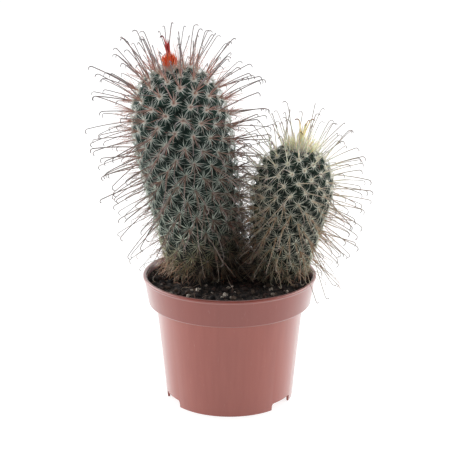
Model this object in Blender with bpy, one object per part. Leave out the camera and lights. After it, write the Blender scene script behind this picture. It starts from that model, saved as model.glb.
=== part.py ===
"""Potted mammillaria: two cactus stems with long hooked spines, in one round nursery pot.

Everything is at its real size, in metres, with +Z up and the ground at z = 0. The origin is the middle of
the footprint of the whole plant, spines included, so the axis of the pot stands a little off it.
"""

import math
import random

import bmesh
import bpy
import numpy as np
from mathutils import Quaternion, Vector, noise
from mathutils.bvhtree import BVHTree

MM = 0.001
UP = Vector((0.0, 0.0, 1.0))
GAP = 0.35 * MM  # left between pieces that touch
SEED = 4

POT_AXIS = Vector((0.4 * MM, -6.5 * MM, 0.0))
POT_SIDES = 40
POT_HEIGHT = 78 * MM
RIM_RADIUS = 52.5 * MM
COLLAR_RADIUS = 49.3 * MM  # outside, at the lower edge of the collar
COLLAR_BOTTOM = 60.6 * MM
BODY_RADIUS = 44.5 * MM  # outside, under the ledge of the collar
BODY_TOP = 59.8 * MM
BASE_RADIUS = 38.5 * MM
WALL = 1.2 * MM
LIP = 0.8 * MM  # how far the rolled lip stands out of the collar
FLOOR_BOTTOM = 3.2 * MM
FLOOR_TOP = 4.7 * MM

NOTCH_COUNT = 3
NOTCH_WIDTH = 18.5 * MM
NOTCH_HEIGHT = 4.4 * MM
NOTCH_FIRST = math.radians(-35)  # angle of the first notch, from +X
DRAIN_COUNT = 6
DRAIN_RADIUS = 3.5 * MM
DRAIN_CIRCLE = 25 * MM

SOIL_SIDES = 20
SOIL_TOP = 74.3 * MM
SOIL_ROUGHNESS = 1.1 * MM
SOIL_CLOD = 13 * MM
SOIL_RINGS = 5
GRIT_COUNT = 20
GRIT_RADII = (1.2 * MM, 2.6 * MM)
FOOT_DEPTH = 13 * MM  # how deep a stem's foot goes into the soil
FOOT_TOP = 1.4 * MM  # the foot meets the lowest tubercles this high over the soil
FOOT_SIDES = 20
LOWEST_AREOLE = 4 * MM

GOLDEN_ANGLE = math.radians(137.508)
SPINE_SIDES = 3
SPINE_RADIUS = 0.55 * MM
SPINE_SINK = 2.4 * MM  # how deep a spine's root sits in its tubercle
SPINE_BOW = 0.09  # how far the end of a spine bends aside, as a share of its length
SHORT_SPINE = (9 * MM, 14 * MM)
SPINE_TRIES = 9  # a spine that would touch something is drawn again, shorter and more upright
SPINE_SHORTER = 0.87
CROWN_REACH = 0.16  # how much longer the spines round the crown are
HOOK_RADIUS = 1.7 * MM
HOOK_TURN = math.radians(150)
PARTING_X = 11 * MM  # spines of the two stems keep to their own side of this line
PARTING_BEND = 140 * MM  # above this height the line leans over the short stem
PARTING_SLOPE = 0.45
CLEARANCE = 1.6 * MM
TUFT_ROOM = 5 * MM  # radius round the growing point that is kept for the tuft of young spines
TUFT_FLARE = 0.3
TUFT_PAD = 2.2 * MM
TUFT_PAD_HEIGHT = 2.4 * MM
TUFT_SPREAD = 0.24

TALL = {
    "name": "tall_stem",
    "foot": Vector((-14 * MM, 11 * MM)),
    "lean": math.radians(10.6),
    "lean_towards": math.radians(197),
    "straighten": 0.15,
    "length": 130 * MM,
    "widest": 82 * MM,
    "radius": 29.2 * MM,
    "foot_radius": 23.4 * MM,
    "squareness": 2.8,
    "areole_area": 87 * MM * MM,
    "turn": GOLDEN_ANGLE,
    "tubercle": 0.52,
    "spine_length": (23 * MM, 30.5 * MM),
    "side": -1,
    "tuft": (9, 12, 21, 10, 8, 11, 16, 9, 12, 8, 24, 10),  # heights of the young spines, in millimetres
}
SHORT = {
    "name": "short_stem",
    "foot": Vector((30.2 * MM, 3 * MM)),
    "lean": math.radians(9.4),
    "lean_towards": math.radians(-8),
    "straighten": 0.1,
    "length": 83 * MM,
    "widest": 53 * MM,
    "radius": 24.2 * MM,
    "foot_radius": 16.2 * MM,
    "squareness": 2.35,
    "areole_area": 53 * MM * MM,
    "turn": -GOLDEN_ANGLE,
    "tubercle": 0.52,
    "spine_length": (18 * MM, 26 * MM),
    "side": 1,
    "tuft": (8, 11, 7, 17, 9, 8, 12, 7, 10, 14),
}


def clear_scene():
    for thing in list(bpy.data.objects):
        bpy.data.objects.remove(thing, do_unlink=True)


def plain_material(name, colour, roughness):
    made = bpy.data.materials.new(name)
    made.use_nodes = True
    made.diffuse_color = (*colour, 1.0)
    shader = made.node_tree.nodes["Principled BSDF"]
    shader.inputs["Base Color"].default_value = (*colour, 1.0)
    shader.inputs["Roughness"].default_value = roughness
    shader.inputs["Metallic"].default_value = 0.0
    return made


def add_object(name, bm, finish=None):
    """Put a bmesh into the scene as a named object and free it."""
    mesh = bpy.data.meshes.new(name)
    bm.to_mesh(mesh)
    bm.free()
    made = bpy.data.objects.new(name, mesh)
    bpy.context.collection.objects.link(made)
    if finish:
        mesh.materials.append(finish)
    return made


def shade_round(obj, angle):
    obj.data.shade_smooth()
    obj.data.set_sharp_from_angle(angle=angle)


def turned(outline, sides, centre):
    """A solid of revolution from an outline that starts and ends on the axis."""
    bm = bmesh.new()
    verts = [bm.verts.new((radius, 0.0, height)) for radius, height in outline]
    edges = [bm.edges.new(pair) for pair in zip(verts, verts[1:])]
    bmesh.ops.spin(
        bm,
        geom=verts + edges,
        cent=(0.0, 0.0, 0.0),
        axis=UP,
        angle=math.tau,
        steps=sides,
        use_merge=True,
    )
    bmesh.ops.remove_doubles(bm, verts=bm.verts, dist=0.001 * MM)
    bmesh.ops.recalc_face_normals(bm, faces=bm.faces)
    bmesh.ops.translate(bm, verts=bm.verts, vec=centre)
    return bm


def cut(target, cutter):
    cutter.hide_render = True
    cutter.display_type = "WIRE"
    modifier = target.modifiers.new(cutter.name, "BOOLEAN")
    modifier.operation = "DIFFERENCE"
    modifier.solver = "MANIFOLD"
    modifier.object = cutter


def join_all(target, repeats):
    """Union a collection of repeats into the target, and remove the collection with its objects."""
    modifier = target.modifiers.new("repeats", "BOOLEAN")
    modifier.operation = "UNION"
    modifier.operand_type = "COLLECTION"
    modifier.collection = repeats
    modifier.solver = "MANIFOLD"
    bpy.context.view_layer.update()
    graph = bpy.context.evaluated_depsgraph_get()
    joined = bpy.data.meshes.new_from_object(target.evaluated_get(graph))
    target.modifiers.clear()
    target.data = joined
    for thing in list(repeats.objects):
        bpy.data.objects.remove(thing, do_unlink=True)
    bpy.data.collections.remove(repeats)


def new_collection(name):
    made = bpy.data.collections.new(name)
    bpy.context.scene.collection.children.link(made)
    return made


def move_to(obj, collection):
    bpy.context.collection.objects.unlink(obj)
    collection.objects.link(obj)


def inner_radius(height):
    """Inside radius of the pot at a height."""
    heights = (FLOOR_TOP, BODY_TOP + WALL, COLLAR_BOTTOM + WALL, POT_HEIGHT)
    radii = (BASE_RADIUS, BODY_RADIUS, COLLAR_RADIUS, RIM_RADIUS - LIP)
    return float(np.interp(height, heights, radii)) - WALL


def build_pot(finish):
    lip_bottom = POT_HEIGHT - 2.2 * MM
    outline = [
        (0.0, FLOOR_BOTTOM),
        (BASE_RADIUS - WALL - 0.3 * MM, FLOOR_BOTTOM),
        (BASE_RADIUS - WALL, 0.0),
        (BASE_RADIUS, 0.0),
        (BODY_RADIUS, BODY_TOP),
        (COLLAR_RADIUS - 0.6 * MM, COLLAR_BOTTOM),
        (COLLAR_RADIUS, COLLAR_BOTTOM + 0.6 * MM),
        (RIM_RADIUS - LIP, lip_bottom),
        (RIM_RADIUS, lip_bottom + 0.8 * MM),
        (RIM_RADIUS, POT_HEIGHT - 0.5 * MM),
        (RIM_RADIUS - 0.5 * MM, POT_HEIGHT),
        (inner_radius(POT_HEIGHT) + 0.3 * MM, POT_HEIGHT),
        (inner_radius(POT_HEIGHT - 0.6 * MM), POT_HEIGHT - 0.6 * MM),
        (COLLAR_RADIUS - WALL, COLLAR_BOTTOM + WALL),
        (BODY_RADIUS - WALL, BODY_TOP + WALL),
        (BASE_RADIUS - WALL, FLOOR_TOP),
        (0.0, FLOOR_TOP),
    ]
    pot = add_object("pot", turned(outline, POT_SIDES, POT_AXIS), finish)
    for index in range(NOTCH_COUNT):
        cut(pot, foot_notch(index))
    for index in range(DRAIN_COUNT):
        cut(pot, drain_hole(index))
    shade_round(pot, math.radians(35))
    return pot


def foot_notch(index):
    """The block that cuts one arch between two feet, with its upper corners rounded."""
    angle = NOTCH_FIRST + math.tau * index / NOTCH_COUNT
    depth = 8 * MM
    below = 2 * MM
    bm = bmesh.new()
    bmesh.ops.create_cube(bm, size=1.0)
    bmesh.ops.scale(bm, verts=bm.verts, vec=(depth, NOTCH_WIDTH, NOTCH_HEIGHT + below))
    corners = [
        edge
        for edge in bm.edges
        if all(vert.co.z > 0 for vert in edge.verts) and edge.verts[0].co.y * edge.verts[1].co.y > 0
    ]
    bmesh.ops.bevel(bm, geom=corners, offset=1.4 * MM, segments=3, profile=0.5, affect="EDGES")
    block = add_object(f"foot_notch_{index + 1}", bm)
    outward = Vector((math.cos(angle), math.sin(angle), 0.0))
    block.location = POT_AXIS + outward * BASE_RADIUS + UP * (NOTCH_HEIGHT - below) / 2
    block.rotation_euler.z = angle
    return block


def drain_hole(index):
    angle = math.tau * (index + 0.5) / DRAIN_COUNT
    bm = bmesh.new()
    bmesh.ops.create_cone(
        bm, cap_ends=True, segments=8, radius1=DRAIN_RADIUS, radius2=DRAIN_RADIUS, depth=2.5 * MM
    )
    plug = add_object(f"drain_hole_{index + 1}", bm)
    outward = Vector((math.cos(angle), math.sin(angle), 0.0))
    plug.location = POT_AXIS + outward * DRAIN_CIRCLE + UP * (FLOOR_BOTTOM + FLOOR_TOP) / 2
    return plug


def build_soil(finish, stems):
    """The soil fills the pot. Its top is cloddy, with grit standing out of it and a hole for each stem."""
    corner = BODY_TOP + WALL
    shoulder = COLLAR_BOTTOM + WALL
    spare = 1.5 * GAP
    edge = inner_radius(SOIL_TOP) - spare
    outline = [
        (0.0, FLOOR_TOP + GAP),
        (inner_radius(FLOOR_TOP) - spare, FLOOR_TOP + GAP),
        (inner_radius(corner) - spare, corner + GAP),
        (inner_radius(shoulder) - spare, shoulder + GAP),
        (edge, SOIL_TOP),
    ]
    outline += [(edge * (1 - ring / SOIL_RINGS), SOIL_TOP) for ring in range(1, SOIL_RINGS + 1)]
    bm = turned(outline, SOIL_SIDES, POT_AXIS)
    for vert in bm.verts:
        if abs(vert.co.z - SOIL_TOP) < 0.01 * MM:
            vert.co.z += SOIL_ROUGHNESS * noise.noise(vert.co / SOIL_CLOD)
    soil = add_object("soil", bm, finish)
    join_all(soil, scattered_grit(edge, stems))
    for stem in stems:
        cut(soil, foot_hole(stem))
    return soil


def scattered_grit(edge, stems):
    """Grains of perlite, each sunk to its middle in the soil, clear of the stems."""
    rng = random.Random(SEED)
    grains = new_collection("grit")
    while len(grains.objects) < GRIT_COUNT:
        radius = rng.uniform(*GRIT_RADII)
        reach = (edge - radius - GAP) * math.sqrt(rng.random())
        angle = rng.uniform(0.0, math.tau)
        place = Vector((reach * math.cos(angle), reach * math.sin(angle), SOIL_TOP))
        if any((place.xy - stem.foot).length < stem.ring_radius + radius + 3 * MM for stem in stems):
            continue
        bm = bmesh.new()
        bmesh.ops.create_icosphere(bm, subdivisions=1, radius=radius)
        bmesh.ops.rotate(bm, verts=bm.verts, matrix=Quaternion(UP, angle).to_matrix())
        bmesh.ops.scale(bm, verts=bm.verts, vec=(1.0, rng.uniform(0.7, 1.0), 0.75))
        grain = add_object(f"grain_{len(grains.objects)}", bm)
        grain.location = POT_AXIS + place
        move_to(grain, grains)
    return grains


def foot_hole(stem):
    bm = bmesh.new()
    radius = stem.ring_radius + GAP / math.cos(math.pi / FOOT_SIDES)
    depth = FOOT_DEPTH + GAP + 8 * MM
    bmesh.ops.create_cone(
        bm, cap_ends=True, segments=FOOT_SIDES, radius1=radius, radius2=radius, depth=depth
    )
    plug = add_object(f"{stem.name}_hole", bm)
    bottom = SOIL_TOP - FOOT_DEPTH - GAP
    plug.location = POT_AXIS + Vector((*stem.foot, bottom + depth / 2))
    return plug


class Stem:
    """A leaning cactus stem. Lengths run along its axis, from the soil to the crown."""

    def __init__(self, form):
        self.form = form
        self.name = form["name"]
        self.foot = form["foot"]
        self.length = form["length"]
        self.ring_radius = form["foot_radius"] * 0.86
        towards = form["lean_towards"]
        self.lean_axis = Vector((-math.sin(towards), math.cos(towards), 0.0))
        self.trace_axis()
        self.trace_outline()

    def lean_at(self, along):
        """The stem starts upright, leans over its first centimetres and straightens a little at the crown."""
        settled = smooth_step(along / (20 * MM))
        crown = smooth_step((along - 0.7 * self.length) / (0.3 * self.length))
        return self.form["lean"] * settled * (1 - self.form["straighten"] * crown)

    def trace_axis(self):
        step = 0.5 * MM
        self.stations = np.arange(-FOOT_DEPTH, self.length + 2 * step, step)
        point = POT_AXIS + Vector((*self.foot, SOIL_TOP - FOOT_DEPTH))
        points = []
        for along in self.stations:
            points.append(point.copy())
            point = point + self.turn_at(float(along)) @ UP * step
        self.axis_points = np.array(points)

    def turn_at(self, along):
        return Quaternion(self.lean_axis, self.lean_at(along))

    def axis_at(self, along):
        return Vector([float(np.interp(along, self.stations, column)) for column in self.axis_points.T])

    def trace_outline(self):
        """Radius and height of the skin over the tubercles' tips, from the crown down, and the area above."""
        form = self.form
        power = 2 / form["squareness"]
        angles = np.linspace(math.pi / 2, 0.0, 400)
        dome = form["length"] - form["widest"]
        crown_radii = form["radius"] * np.cos(angles).clip(0) ** power
        crown_heights = form["widest"] + dome * np.sin(angles) ** power
        heights = np.linspace(form["widest"], 0.0, 400)[1:]
        narrowing = (form["radius"] - form["foot_radius"]) * (1 - heights / form["widest"]) ** 1.15
        self.radii = np.concatenate([crown_radii, form["radius"] - narrowing])
        self.heights = np.concatenate([crown_heights, heights])
        run = np.hypot(np.diff(self.radii), np.diff(self.heights))
        middle = (self.radii[1:] + self.radii[:-1]) / 2
        self.areas = np.concatenate([[0.0], np.cumsum(math.tau * middle * run)])
        self.stretch = np.concatenate([[0.0], np.cumsum(run / middle)])

    def areoles(self):
        """(radius, angle, height) of each areole: a golden-angle spiral, each with its share of the skin."""
        share = self.form["areole_area"]
        lowest = float(np.interp(LOWEST_AREOLE, self.heights[::-1], self.areas[::-1]))
        found = []
        area = 0.8 * share
        while area < lowest:
            index = len(found)
            radius = float(np.interp(area, self.areas, self.radii))
            height = float(np.interp(area, self.areas, self.heights))
            found.append((radius, index * self.form["turn"], height))
            area += share * min(1.0, 0.45 + 0.55 * index / 20)
        return found

    def on_globe(self, angle, height):
        """The point of a unit globe that stands for a point of the skin. Small shapes keep their angles."""
        middle = float(np.interp(0.6 * self.length, self.heights[::-1], self.stretch[::-1]))
        sine = math.tanh(middle - float(np.interp(height, self.heights[::-1], self.stretch[::-1])))
        cosine = math.sqrt(1 - sine * sine)
        return Vector((cosine * math.cos(angle), cosine * math.sin(angle), sine))

    def place(self, local):
        """A point of the straight form, moved onto the leaning axis."""
        turn = self.turn_at(local.z)
        return self.axis_at(local.z) + turn @ Vector((local.x, local.y, 0.0))


def smooth_step(share):
    share = min(1.0, max(0.0, share))
    return share * share * (3 - 2 * share)


def stem_body(stem):
    """The fleshy stem: a six-sided cone for each areole, and a plain round foot.

    Which areoles are neighbours comes from the hull of their places on a globe.
    """
    bm = bmesh.new()
    places = {}
    for radius, angle, height in stem.areoles():
        vert = bm.verts.new(stem.on_globe(angle, height))
        places[vert] = Vector((radius * math.cos(angle), radius * math.sin(angle), height))
    areole_verts = set(places)
    for index in range(FOOT_SIDES):
        angle = math.tau * (index + 0.5) / FOOT_SIDES
        vert = bm.verts.new(stem.on_globe(angle, 0.0))
        radius = stem.ring_radius
        places[vert] = Vector((radius * math.cos(angle), radius * math.sin(angle), FOOT_TOP))
    bmesh.ops.convex_hull(bm, input=bm.verts)
    bmesh.ops.triangulate(bm, faces=bm.faces)
    for vert, place in places.items():
        vert.co = stem.place(place)
    bmesh.ops.recalc_face_normals(bm, faces=bm.faces)
    raised = [face for face in bm.faces if areole_verts.issuperset(face.verts)]
    ridges = [edge for edge in bm.edges if all(face in raised for face in edge.link_faces)]
    underside = [face for face in bm.faces if areole_verts.isdisjoint(face.verts)]
    sole = bmesh.ops.dissolve_faces(bm, faces=underside)["region"]
    sunk = bmesh.ops.extrude_face_region(bm, geom=sole)["geom"]
    sunk = [item for item in sunk if isinstance(item, bmesh.types.BMVert)]
    bmesh.ops.delete(bm, geom=sole, context="FACES_ONLY")
    bmesh.ops.translate(bm, verts=sunk, vec=-UP * (FOOT_TOP + FOOT_DEPTH))
    raise_tubercles(bm, raised, ridges, stem.form["tubercle"])
    bmesh.ops.recalc_face_normals(bm, faces=bm.faces)
    return bm


def raise_tubercles(bm, faces, ridges, steepness):
    """Sink a valley in each face between three areoles and join the valleys: a cone is left round each."""
    valleys = [
        face.calc_center_median() - face.normal * steepness * math.sqrt(face.calc_area()) for face in faces
    ]
    poked = bmesh.ops.poke(bm, faces=faces)["verts"]
    for vert, place in zip(poked, valleys):
        vert.co = place
    bmesh.ops.rotate_edges(bm, edges=ridges)


def build_stem(stem, finish):
    body = add_object(stem.name, stem_body(stem), finish)
    join_all(body, stem_spines(stem))
    return body


def stem_spines(stem):
    """A long hooked spine on one areole in three, and a short straight one on the next."""
    rng = random.Random(SEED)
    spines = new_collection(f"{stem.name}_spines")
    for index, areole in enumerate(stem.areoles()):
        if index < 4 or index % 3 == 2:
            continue
        points = grow_spine(stem, areole, index % 3 == 0, rng)
        if points:
            spine = add_object(f"spine_{index}", spine_tube(points))
            move_to(spine, spines)
    return spines


def areole_frame(stem, areole):
    """Tip of a tubercle, the way out of it, and the way along the stem to the crown.

    Over the crown the tubercles turn up, but less than the skin does, so that their spines fan out.
    """
    radius, angle, height = areole
    radial = Vector((math.cos(angle), math.sin(angle), 0.0))
    tip = stem.place(radial * radius + UP * height)
    slope = -0.08
    if height > stem.form["widest"]:
        slope = 1.3 * (1 - (radius / stem.form["radius"]) ** 2)
    turn = stem.turn_at(height)
    outward = turn @ (radial * math.cos(slope) + UP * math.sin(slope))
    upward = turn @ (UP * math.cos(slope) - radial * math.sin(slope))
    return tip, outward, upward


def grow_spine(stem, areole, hooked, rng):
    """Points along one spine, or nothing where no length of it would stay clear of its neighbours."""
    tip, outward, upward = areole_frame(stem, areole)
    sideways = outward.cross(upward)
    share = areole[2] / stem.length
    reach = 1 + CROWN_REACH * smooth_step((share - 0.75) / 0.25)
    for attempt in range(SPINE_TRIES):
        length = rng.uniform(*(stem.form["spine_length"] if hooked else SHORT_SPINE))
        length *= SPINE_SHORTER**attempt * reach
        lift = -0.65 + 0.95 * share + rng.uniform(-0.3, 0.3) + 0.12 * attempt
        sway = rng.uniform(-0.35, 0.35)
        direction = (outward + upward * lift + sideways * sway).normalized()
        bend = (-UP + outward * share + sideways * rng.uniform(-0.7, 0.7)).normalized()
        bend = (bend - direction * bend.dot(direction)).normalized()
        root = tip - outward * SPINE_SINK
        points = spine_points(root, tip, direction, bend, length, hooked)
        if all(is_clear(stem, point) for point in between([tip] + points[1:])):
            return points
    return None


def spine_points(root, start, direction, bend, length, hooked):
    """A spine lies in one plane: a gently bowed shaft, and a hook at its end if it has one."""
    if not hooked:
        return [root, start + direction * length]
    points = [root]
    for share in (0.5, 1.0):
        points.append(start + (direction * share + bend * SPINE_BOW * share**2) * length)
    heading = (direction + bend * 2 * SPINE_BOW).normalized()
    inward = (bend - heading * bend.dot(heading)).normalized()
    for angle in (HOOK_TURN * 0.5, HOOK_TURN):
        swing = heading * math.sin(angle) + inward * (1 - math.cos(angle))
        points.append(points[2] + swing * HOOK_RADIUS)
    return points


def between(points):
    """Points about a millimetre apart along a path."""
    found = [points[0]]
    for first, second in zip(points, points[1:]):
        steps = math.ceil((second - first).length / MM)
        found += [first.lerp(second, step / steps) for step in range(1, steps + 1)]
    return found


def is_clear(stem, point):
    """Whether a spine may pass here: on its own side, above the soil, over or outside the rim, off the tuft."""
    parting = POT_AXIS.x + PARTING_X + max(0.0, point.z - PARTING_BEND) * PARTING_SLOPE
    if (point.x - parting) * stem.form["side"] < CLEARANCE:
        return False
    reach = (point.xy - POT_AXIS.xy).length
    floor = POT_HEIGHT if reach > inner_radius(POT_HEIGHT) - CLEARANCE else SOIL_TOP + SOIL_ROUGHNESS
    if reach < RIM_RADIUS + CLEARANCE and point.z < floor + CLEARANCE:
        return False
    above = stem.turn_at(stem.length) @ UP
    offset = point - stem.axis_at(stem.length)
    rise = offset.dot(above)
    return rise < -4 * MM or (offset - above * rise).length > TUFT_ROOM + max(0.0, rise) * TUFT_FLARE


def spine_tube(points):
    """A thin three-sided tube through the points, drawn to a point at its end."""
    bm = bmesh.new()
    rings = []
    side = (points[-1] - points[1] if len(points) > 2 else Vector((0.31, 0.59, 0.74))).normalized()
    normal = (points[1] - points[0]).cross(side).normalized()
    for index, point in enumerate(points[:-1]):
        before = points[max(0, index - 1)]
        heading = (points[index + 1] - before).normalized()
        across = heading.cross(normal).normalized()
        radius = SPINE_RADIUS * (1 - 0.35 * index / len(points))
        ring = []
        for corner in range(SPINE_SIDES):
            angle = math.tau * corner / SPINE_SIDES
            offset = across * math.cos(angle) + normal * math.sin(angle)
            ring.append(bm.verts.new(point + offset * radius))
        rings.append(ring)
    bm.faces.new(reversed(rings[0]))
    for lower, upper in zip(rings, rings[1:]):
        for corner in range(SPINE_SIDES):
            after = (corner + 1) % SPINE_SIDES
            bm.faces.new((lower[corner], lower[after], upper[after], upper[corner]))
    tip = bm.verts.new(points[-1])
    for corner in range(SPINE_SIDES):
        bm.faces.new((rings[-1][corner], rings[-1][(corner + 1) % SPINE_SIDES], tip))
    bmesh.ops.triangulate(bm, faces=bm.faces)
    bmesh.ops.recalc_face_normals(bm, faces=bm.faces)
    return bm


def crown_frame(stem):
    """Three directions at the crown: along the stem, and two across it."""
    turn = stem.turn_at(stem.length)
    return turn @ UP, turn @ Vector((1.0, 0.0, 0.0)), turn @ Vector((0.0, 1.0, 0.0))


def tuft_seat(stem, body):
    """The lowest place over the growing point where a pad clears the tubercles round it."""
    above, east, north = crown_frame(stem)
    surface = BVHTree.FromObject(body, bpy.context.evaluated_depsgraph_get())
    centre = stem.axis_at(stem.length)
    heights = []
    for turn in range(12):
        angle = math.tau * turn / 12
        outward = (east * math.cos(angle) + north * math.sin(angle)) * TUFT_PAD
        for share in (0.0, 0.6, 1.15):
            hit = surface.ray_cast(centre + outward * share + above * 50 * MM, -above)[0]
            heights.append((hit - centre).dot(above))
    return centre + above * (max(heights) + GAP)


def build_tuft(stem, body, name, finish):
    """Young upright spines at the growing point, on a small pad that sits in the crown."""
    above, east, north = crown_frame(stem)
    seat = tuft_seat(stem, body)
    bm = bmesh.new()
    bmesh.ops.create_cone(
        bm, cap_ends=True, segments=8, radius1=TUFT_PAD, radius2=TUFT_PAD * 0.6, depth=TUFT_PAD_HEIGHT
    )
    bmesh.ops.rotate(bm, verts=bm.verts, matrix=stem.turn_at(stem.length).to_matrix())
    bmesh.ops.translate(bm, verts=bm.verts, vec=seat + above * TUFT_PAD_HEIGHT / 2)
    tuft = add_object(name, bm, finish)
    spines = new_collection(f"{name}_spines")
    heights = [height * MM for height in stem.form["tuft"]]
    for index, height in enumerate(heights):
        angle = index * GOLDEN_ANGLE
        spread = math.sqrt((index + 0.5) / len(heights))
        outward = east * math.cos(angle) + north * math.sin(angle)
        root = seat + above * TUFT_PAD_HEIGHT * 0.4 + outward * TUFT_PAD * 0.5 * spread
        direction = (above + outward * TUFT_SPREAD * spread).normalized()
        bend = (outward - direction * outward.dot(direction)).normalized()
        points = [root, root + direction * height * 0.5, root + (direction + bend * 0.05) * height]
        move_to(add_object(f"{name}_{index}", spine_tube(points)), spines)
    join_all(tuft, spines)
    return tuft


def main():
    clear_scene()
    plastic = plain_material("terracotta_plastic", (0.42, 0.15, 0.11), 0.45)
    earth = plain_material("potting_soil", (0.025, 0.018, 0.014), 0.95)
    tall_skin = plain_material("tall_stem_skin", (0.07, 0.14, 0.11), 0.6)
    short_skin = plain_material("short_stem_skin", (0.08, 0.17, 0.12), 0.6)
    red_spine = plain_material("young_red_spines", (0.55, 0.08, 0.03), 0.5)
    yellow_spine = plain_material("young_yellow_spines", (0.75, 0.7, 0.35), 0.5)
    tall = Stem(TALL)
    short = Stem(SHORT)
    build_pot(plastic)
    build_soil(earth, (tall, short))
    tall_body = build_stem(tall, tall_skin)
    short_body = build_stem(short, short_skin)
    build_tuft(tall, tall_body, "tall_crown_tuft", red_spine)
    build_tuft(short, short_body, "short_crown_tuft", yellow_spine)


main()
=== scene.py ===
import math
import random

import bpy
import numpy as np
from mathutils import Matrix, Quaternion, Vector, noise


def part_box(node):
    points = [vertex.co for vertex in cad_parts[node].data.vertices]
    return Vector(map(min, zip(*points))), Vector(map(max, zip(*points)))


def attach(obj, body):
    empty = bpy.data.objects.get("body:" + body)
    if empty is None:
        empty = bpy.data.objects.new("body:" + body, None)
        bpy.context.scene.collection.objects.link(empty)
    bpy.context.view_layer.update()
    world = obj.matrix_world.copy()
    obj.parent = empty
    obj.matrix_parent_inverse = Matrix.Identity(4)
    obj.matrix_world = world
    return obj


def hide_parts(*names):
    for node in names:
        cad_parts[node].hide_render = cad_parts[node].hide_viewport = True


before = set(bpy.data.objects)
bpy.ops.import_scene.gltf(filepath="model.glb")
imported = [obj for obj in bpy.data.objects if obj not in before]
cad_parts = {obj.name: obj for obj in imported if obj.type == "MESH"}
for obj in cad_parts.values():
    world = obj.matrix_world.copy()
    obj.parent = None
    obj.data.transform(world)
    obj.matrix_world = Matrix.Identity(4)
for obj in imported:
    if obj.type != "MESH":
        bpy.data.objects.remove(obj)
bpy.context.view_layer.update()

mm = 0.001
up = Vector((0, 0, 1))
goldenAngle = math.radians(137.508)
potLow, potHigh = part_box("pot")
potAxis = Vector(((potLow.x + potHigh.x) / 2, (potLow.y + potHigh.y) / 2, 0))
rimRadius = (potHigh.x - potLow.x) / 2
potHeight = potHigh.z
soilTop = 74.3 * mm
footDepth = 13 * mm  # how deep the stems go into the soil
growthMap = "growth"  # UV map of every living piece: across is its age, up is the way from root to tip


# Small helpers for working by hand

def deselectAll():
    if bpy.context.mode != "OBJECT":
        bpy.ops.object.mode_set(mode="OBJECT")
    bpy.ops.object.select_all(action="DESELECT")


def takeUp(obj):
    deselectAll()
    obj.select_set(True)
    bpy.context.view_layer.objects.active = obj


def applyAll(obj):
    takeUp(obj)
    for modifier in list(obj.modifiers):
        bpy.ops.object.modifier_apply(modifier=modifier.name)


def throwAway(*objects):
    for obj in objects:
        bpy.data.objects.remove(obj, do_unlink=True)


# A closed round body: a filled ring, extruded and scaled through (height, radius) steps to a pole
def turnBody(name, sides, outline, pole=True):
    deselectAll()
    height, radius = outline[0]
    bpy.ops.mesh.primitive_circle_add(
        vertices=sides, radius=radius, fill_type="NGON", location=(0, 0, height)
    )
    body = bpy.context.object
    body.name = name
    bpy.ops.object.transform_apply(location=True)
    bpy.ops.object.mode_set(mode="EDIT")
    bpy.ops.mesh.select_all(action="SELECT")
    for nextHeight, nextRadius in outline[1:]:
        bpy.ops.mesh.extrude_region_move(TRANSFORM_OT_translate={"value": (0, 0, nextHeight - height)})
        size = nextRadius / radius
        bpy.ops.transform.resize(value=(size, size, 1), center_override=(0, 0, nextHeight))
        height, radius = nextHeight, nextRadius
    if pole:
        bpy.ops.mesh.merge(type="CENTER")
    bpy.ops.mesh.select_all(action="SELECT")
    bpy.ops.mesh.normals_make_consistent(inside=False)
    bpy.ops.object.mode_set(mode="OBJECT")
    return body


def joinAs(name, objects):
    deselectAll()
    for obj in objects:
        obj.select_set(True)
    bpy.context.view_layer.objects.active = objects[0]
    bpy.ops.object.join()
    joined = bpy.context.object
    joined.name = name
    joined.data.name = name
    return joined


def clamp(share):
    return min(1.0, max(0.0, share))


# Writes where along the piece each corner lies, from its height between low and high
def markGrowth(obj, low=0.0, high=1.0):
    mesh = obj.data
    while mesh.uv_layers:
        mesh.uv_layers.remove(mesh.uv_layers[0])
    layer = mesh.uv_layers.new(name=growthMap)
    for loop in mesh.loops:
        share = (mesh.vertices[loop.vertex_index].co.z - low) / (high - low)
        layer.data[loop.index].uv = (0.0, clamp(share))


def setAge(mesh, age):
    layer = mesh.uv_layers[growthMap]
    values = np.empty(len(mesh.loops) * 2, np.float32)
    layer.data.foreach_get("uv", values)
    values[0::2] = age
    layer.data.foreach_set("uv", values)


def copyAt(model, matrix, age):
    made = model.copy()
    made.data = model.data.copy()
    made.data.transform(matrix)
    setAge(made.data, age)
    bpy.context.collection.objects.link(made)
    return made


def finishPiece(piece, finish, slot, *replaced):
    piece.data.materials.clear()
    piece.data.materials.append(finish)
    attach(piece, "root")
    if replaced:
        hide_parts(*replaced)
    print(f"{piece.name}: {sum(len(face.vertices) - 2 for face in piece.data.polygons)} triangles")


# Shader maths

def paint(red, green, blue):  # a screen colour, 0 to 255, as the renderer wants it
    shares = [value / 255 for value in (red, green, blue)]
    return tuple(s / 12.92 if s <= 0.04045 else ((s + 0.055) / 1.055) ** 2.4 for s in shares) + (1.0,)


class Wire:  # a node's output that can stand in a sum
    def __init__(self, finish, socket):
        self.finish = finish
        self.socket = socket

    def work(self, operation, first, second=0.0):
        return self.finish.add("Math", {"operation": operation}, {0: first, 1: second})

    def __add__(self, other):
        return self.work("ADD", self, other)

    def __radd__(self, other):
        return self.work("ADD", other, self)

    def __sub__(self, other):
        return self.work("SUBTRACT", self, other)

    def __rsub__(self, other):
        return self.work("SUBTRACT", other, self)

    def __mul__(self, other):
        return self.work("MULTIPLY", self, other)

    def __rmul__(self, other):
        return self.work("MULTIPLY", other, self)


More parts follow.
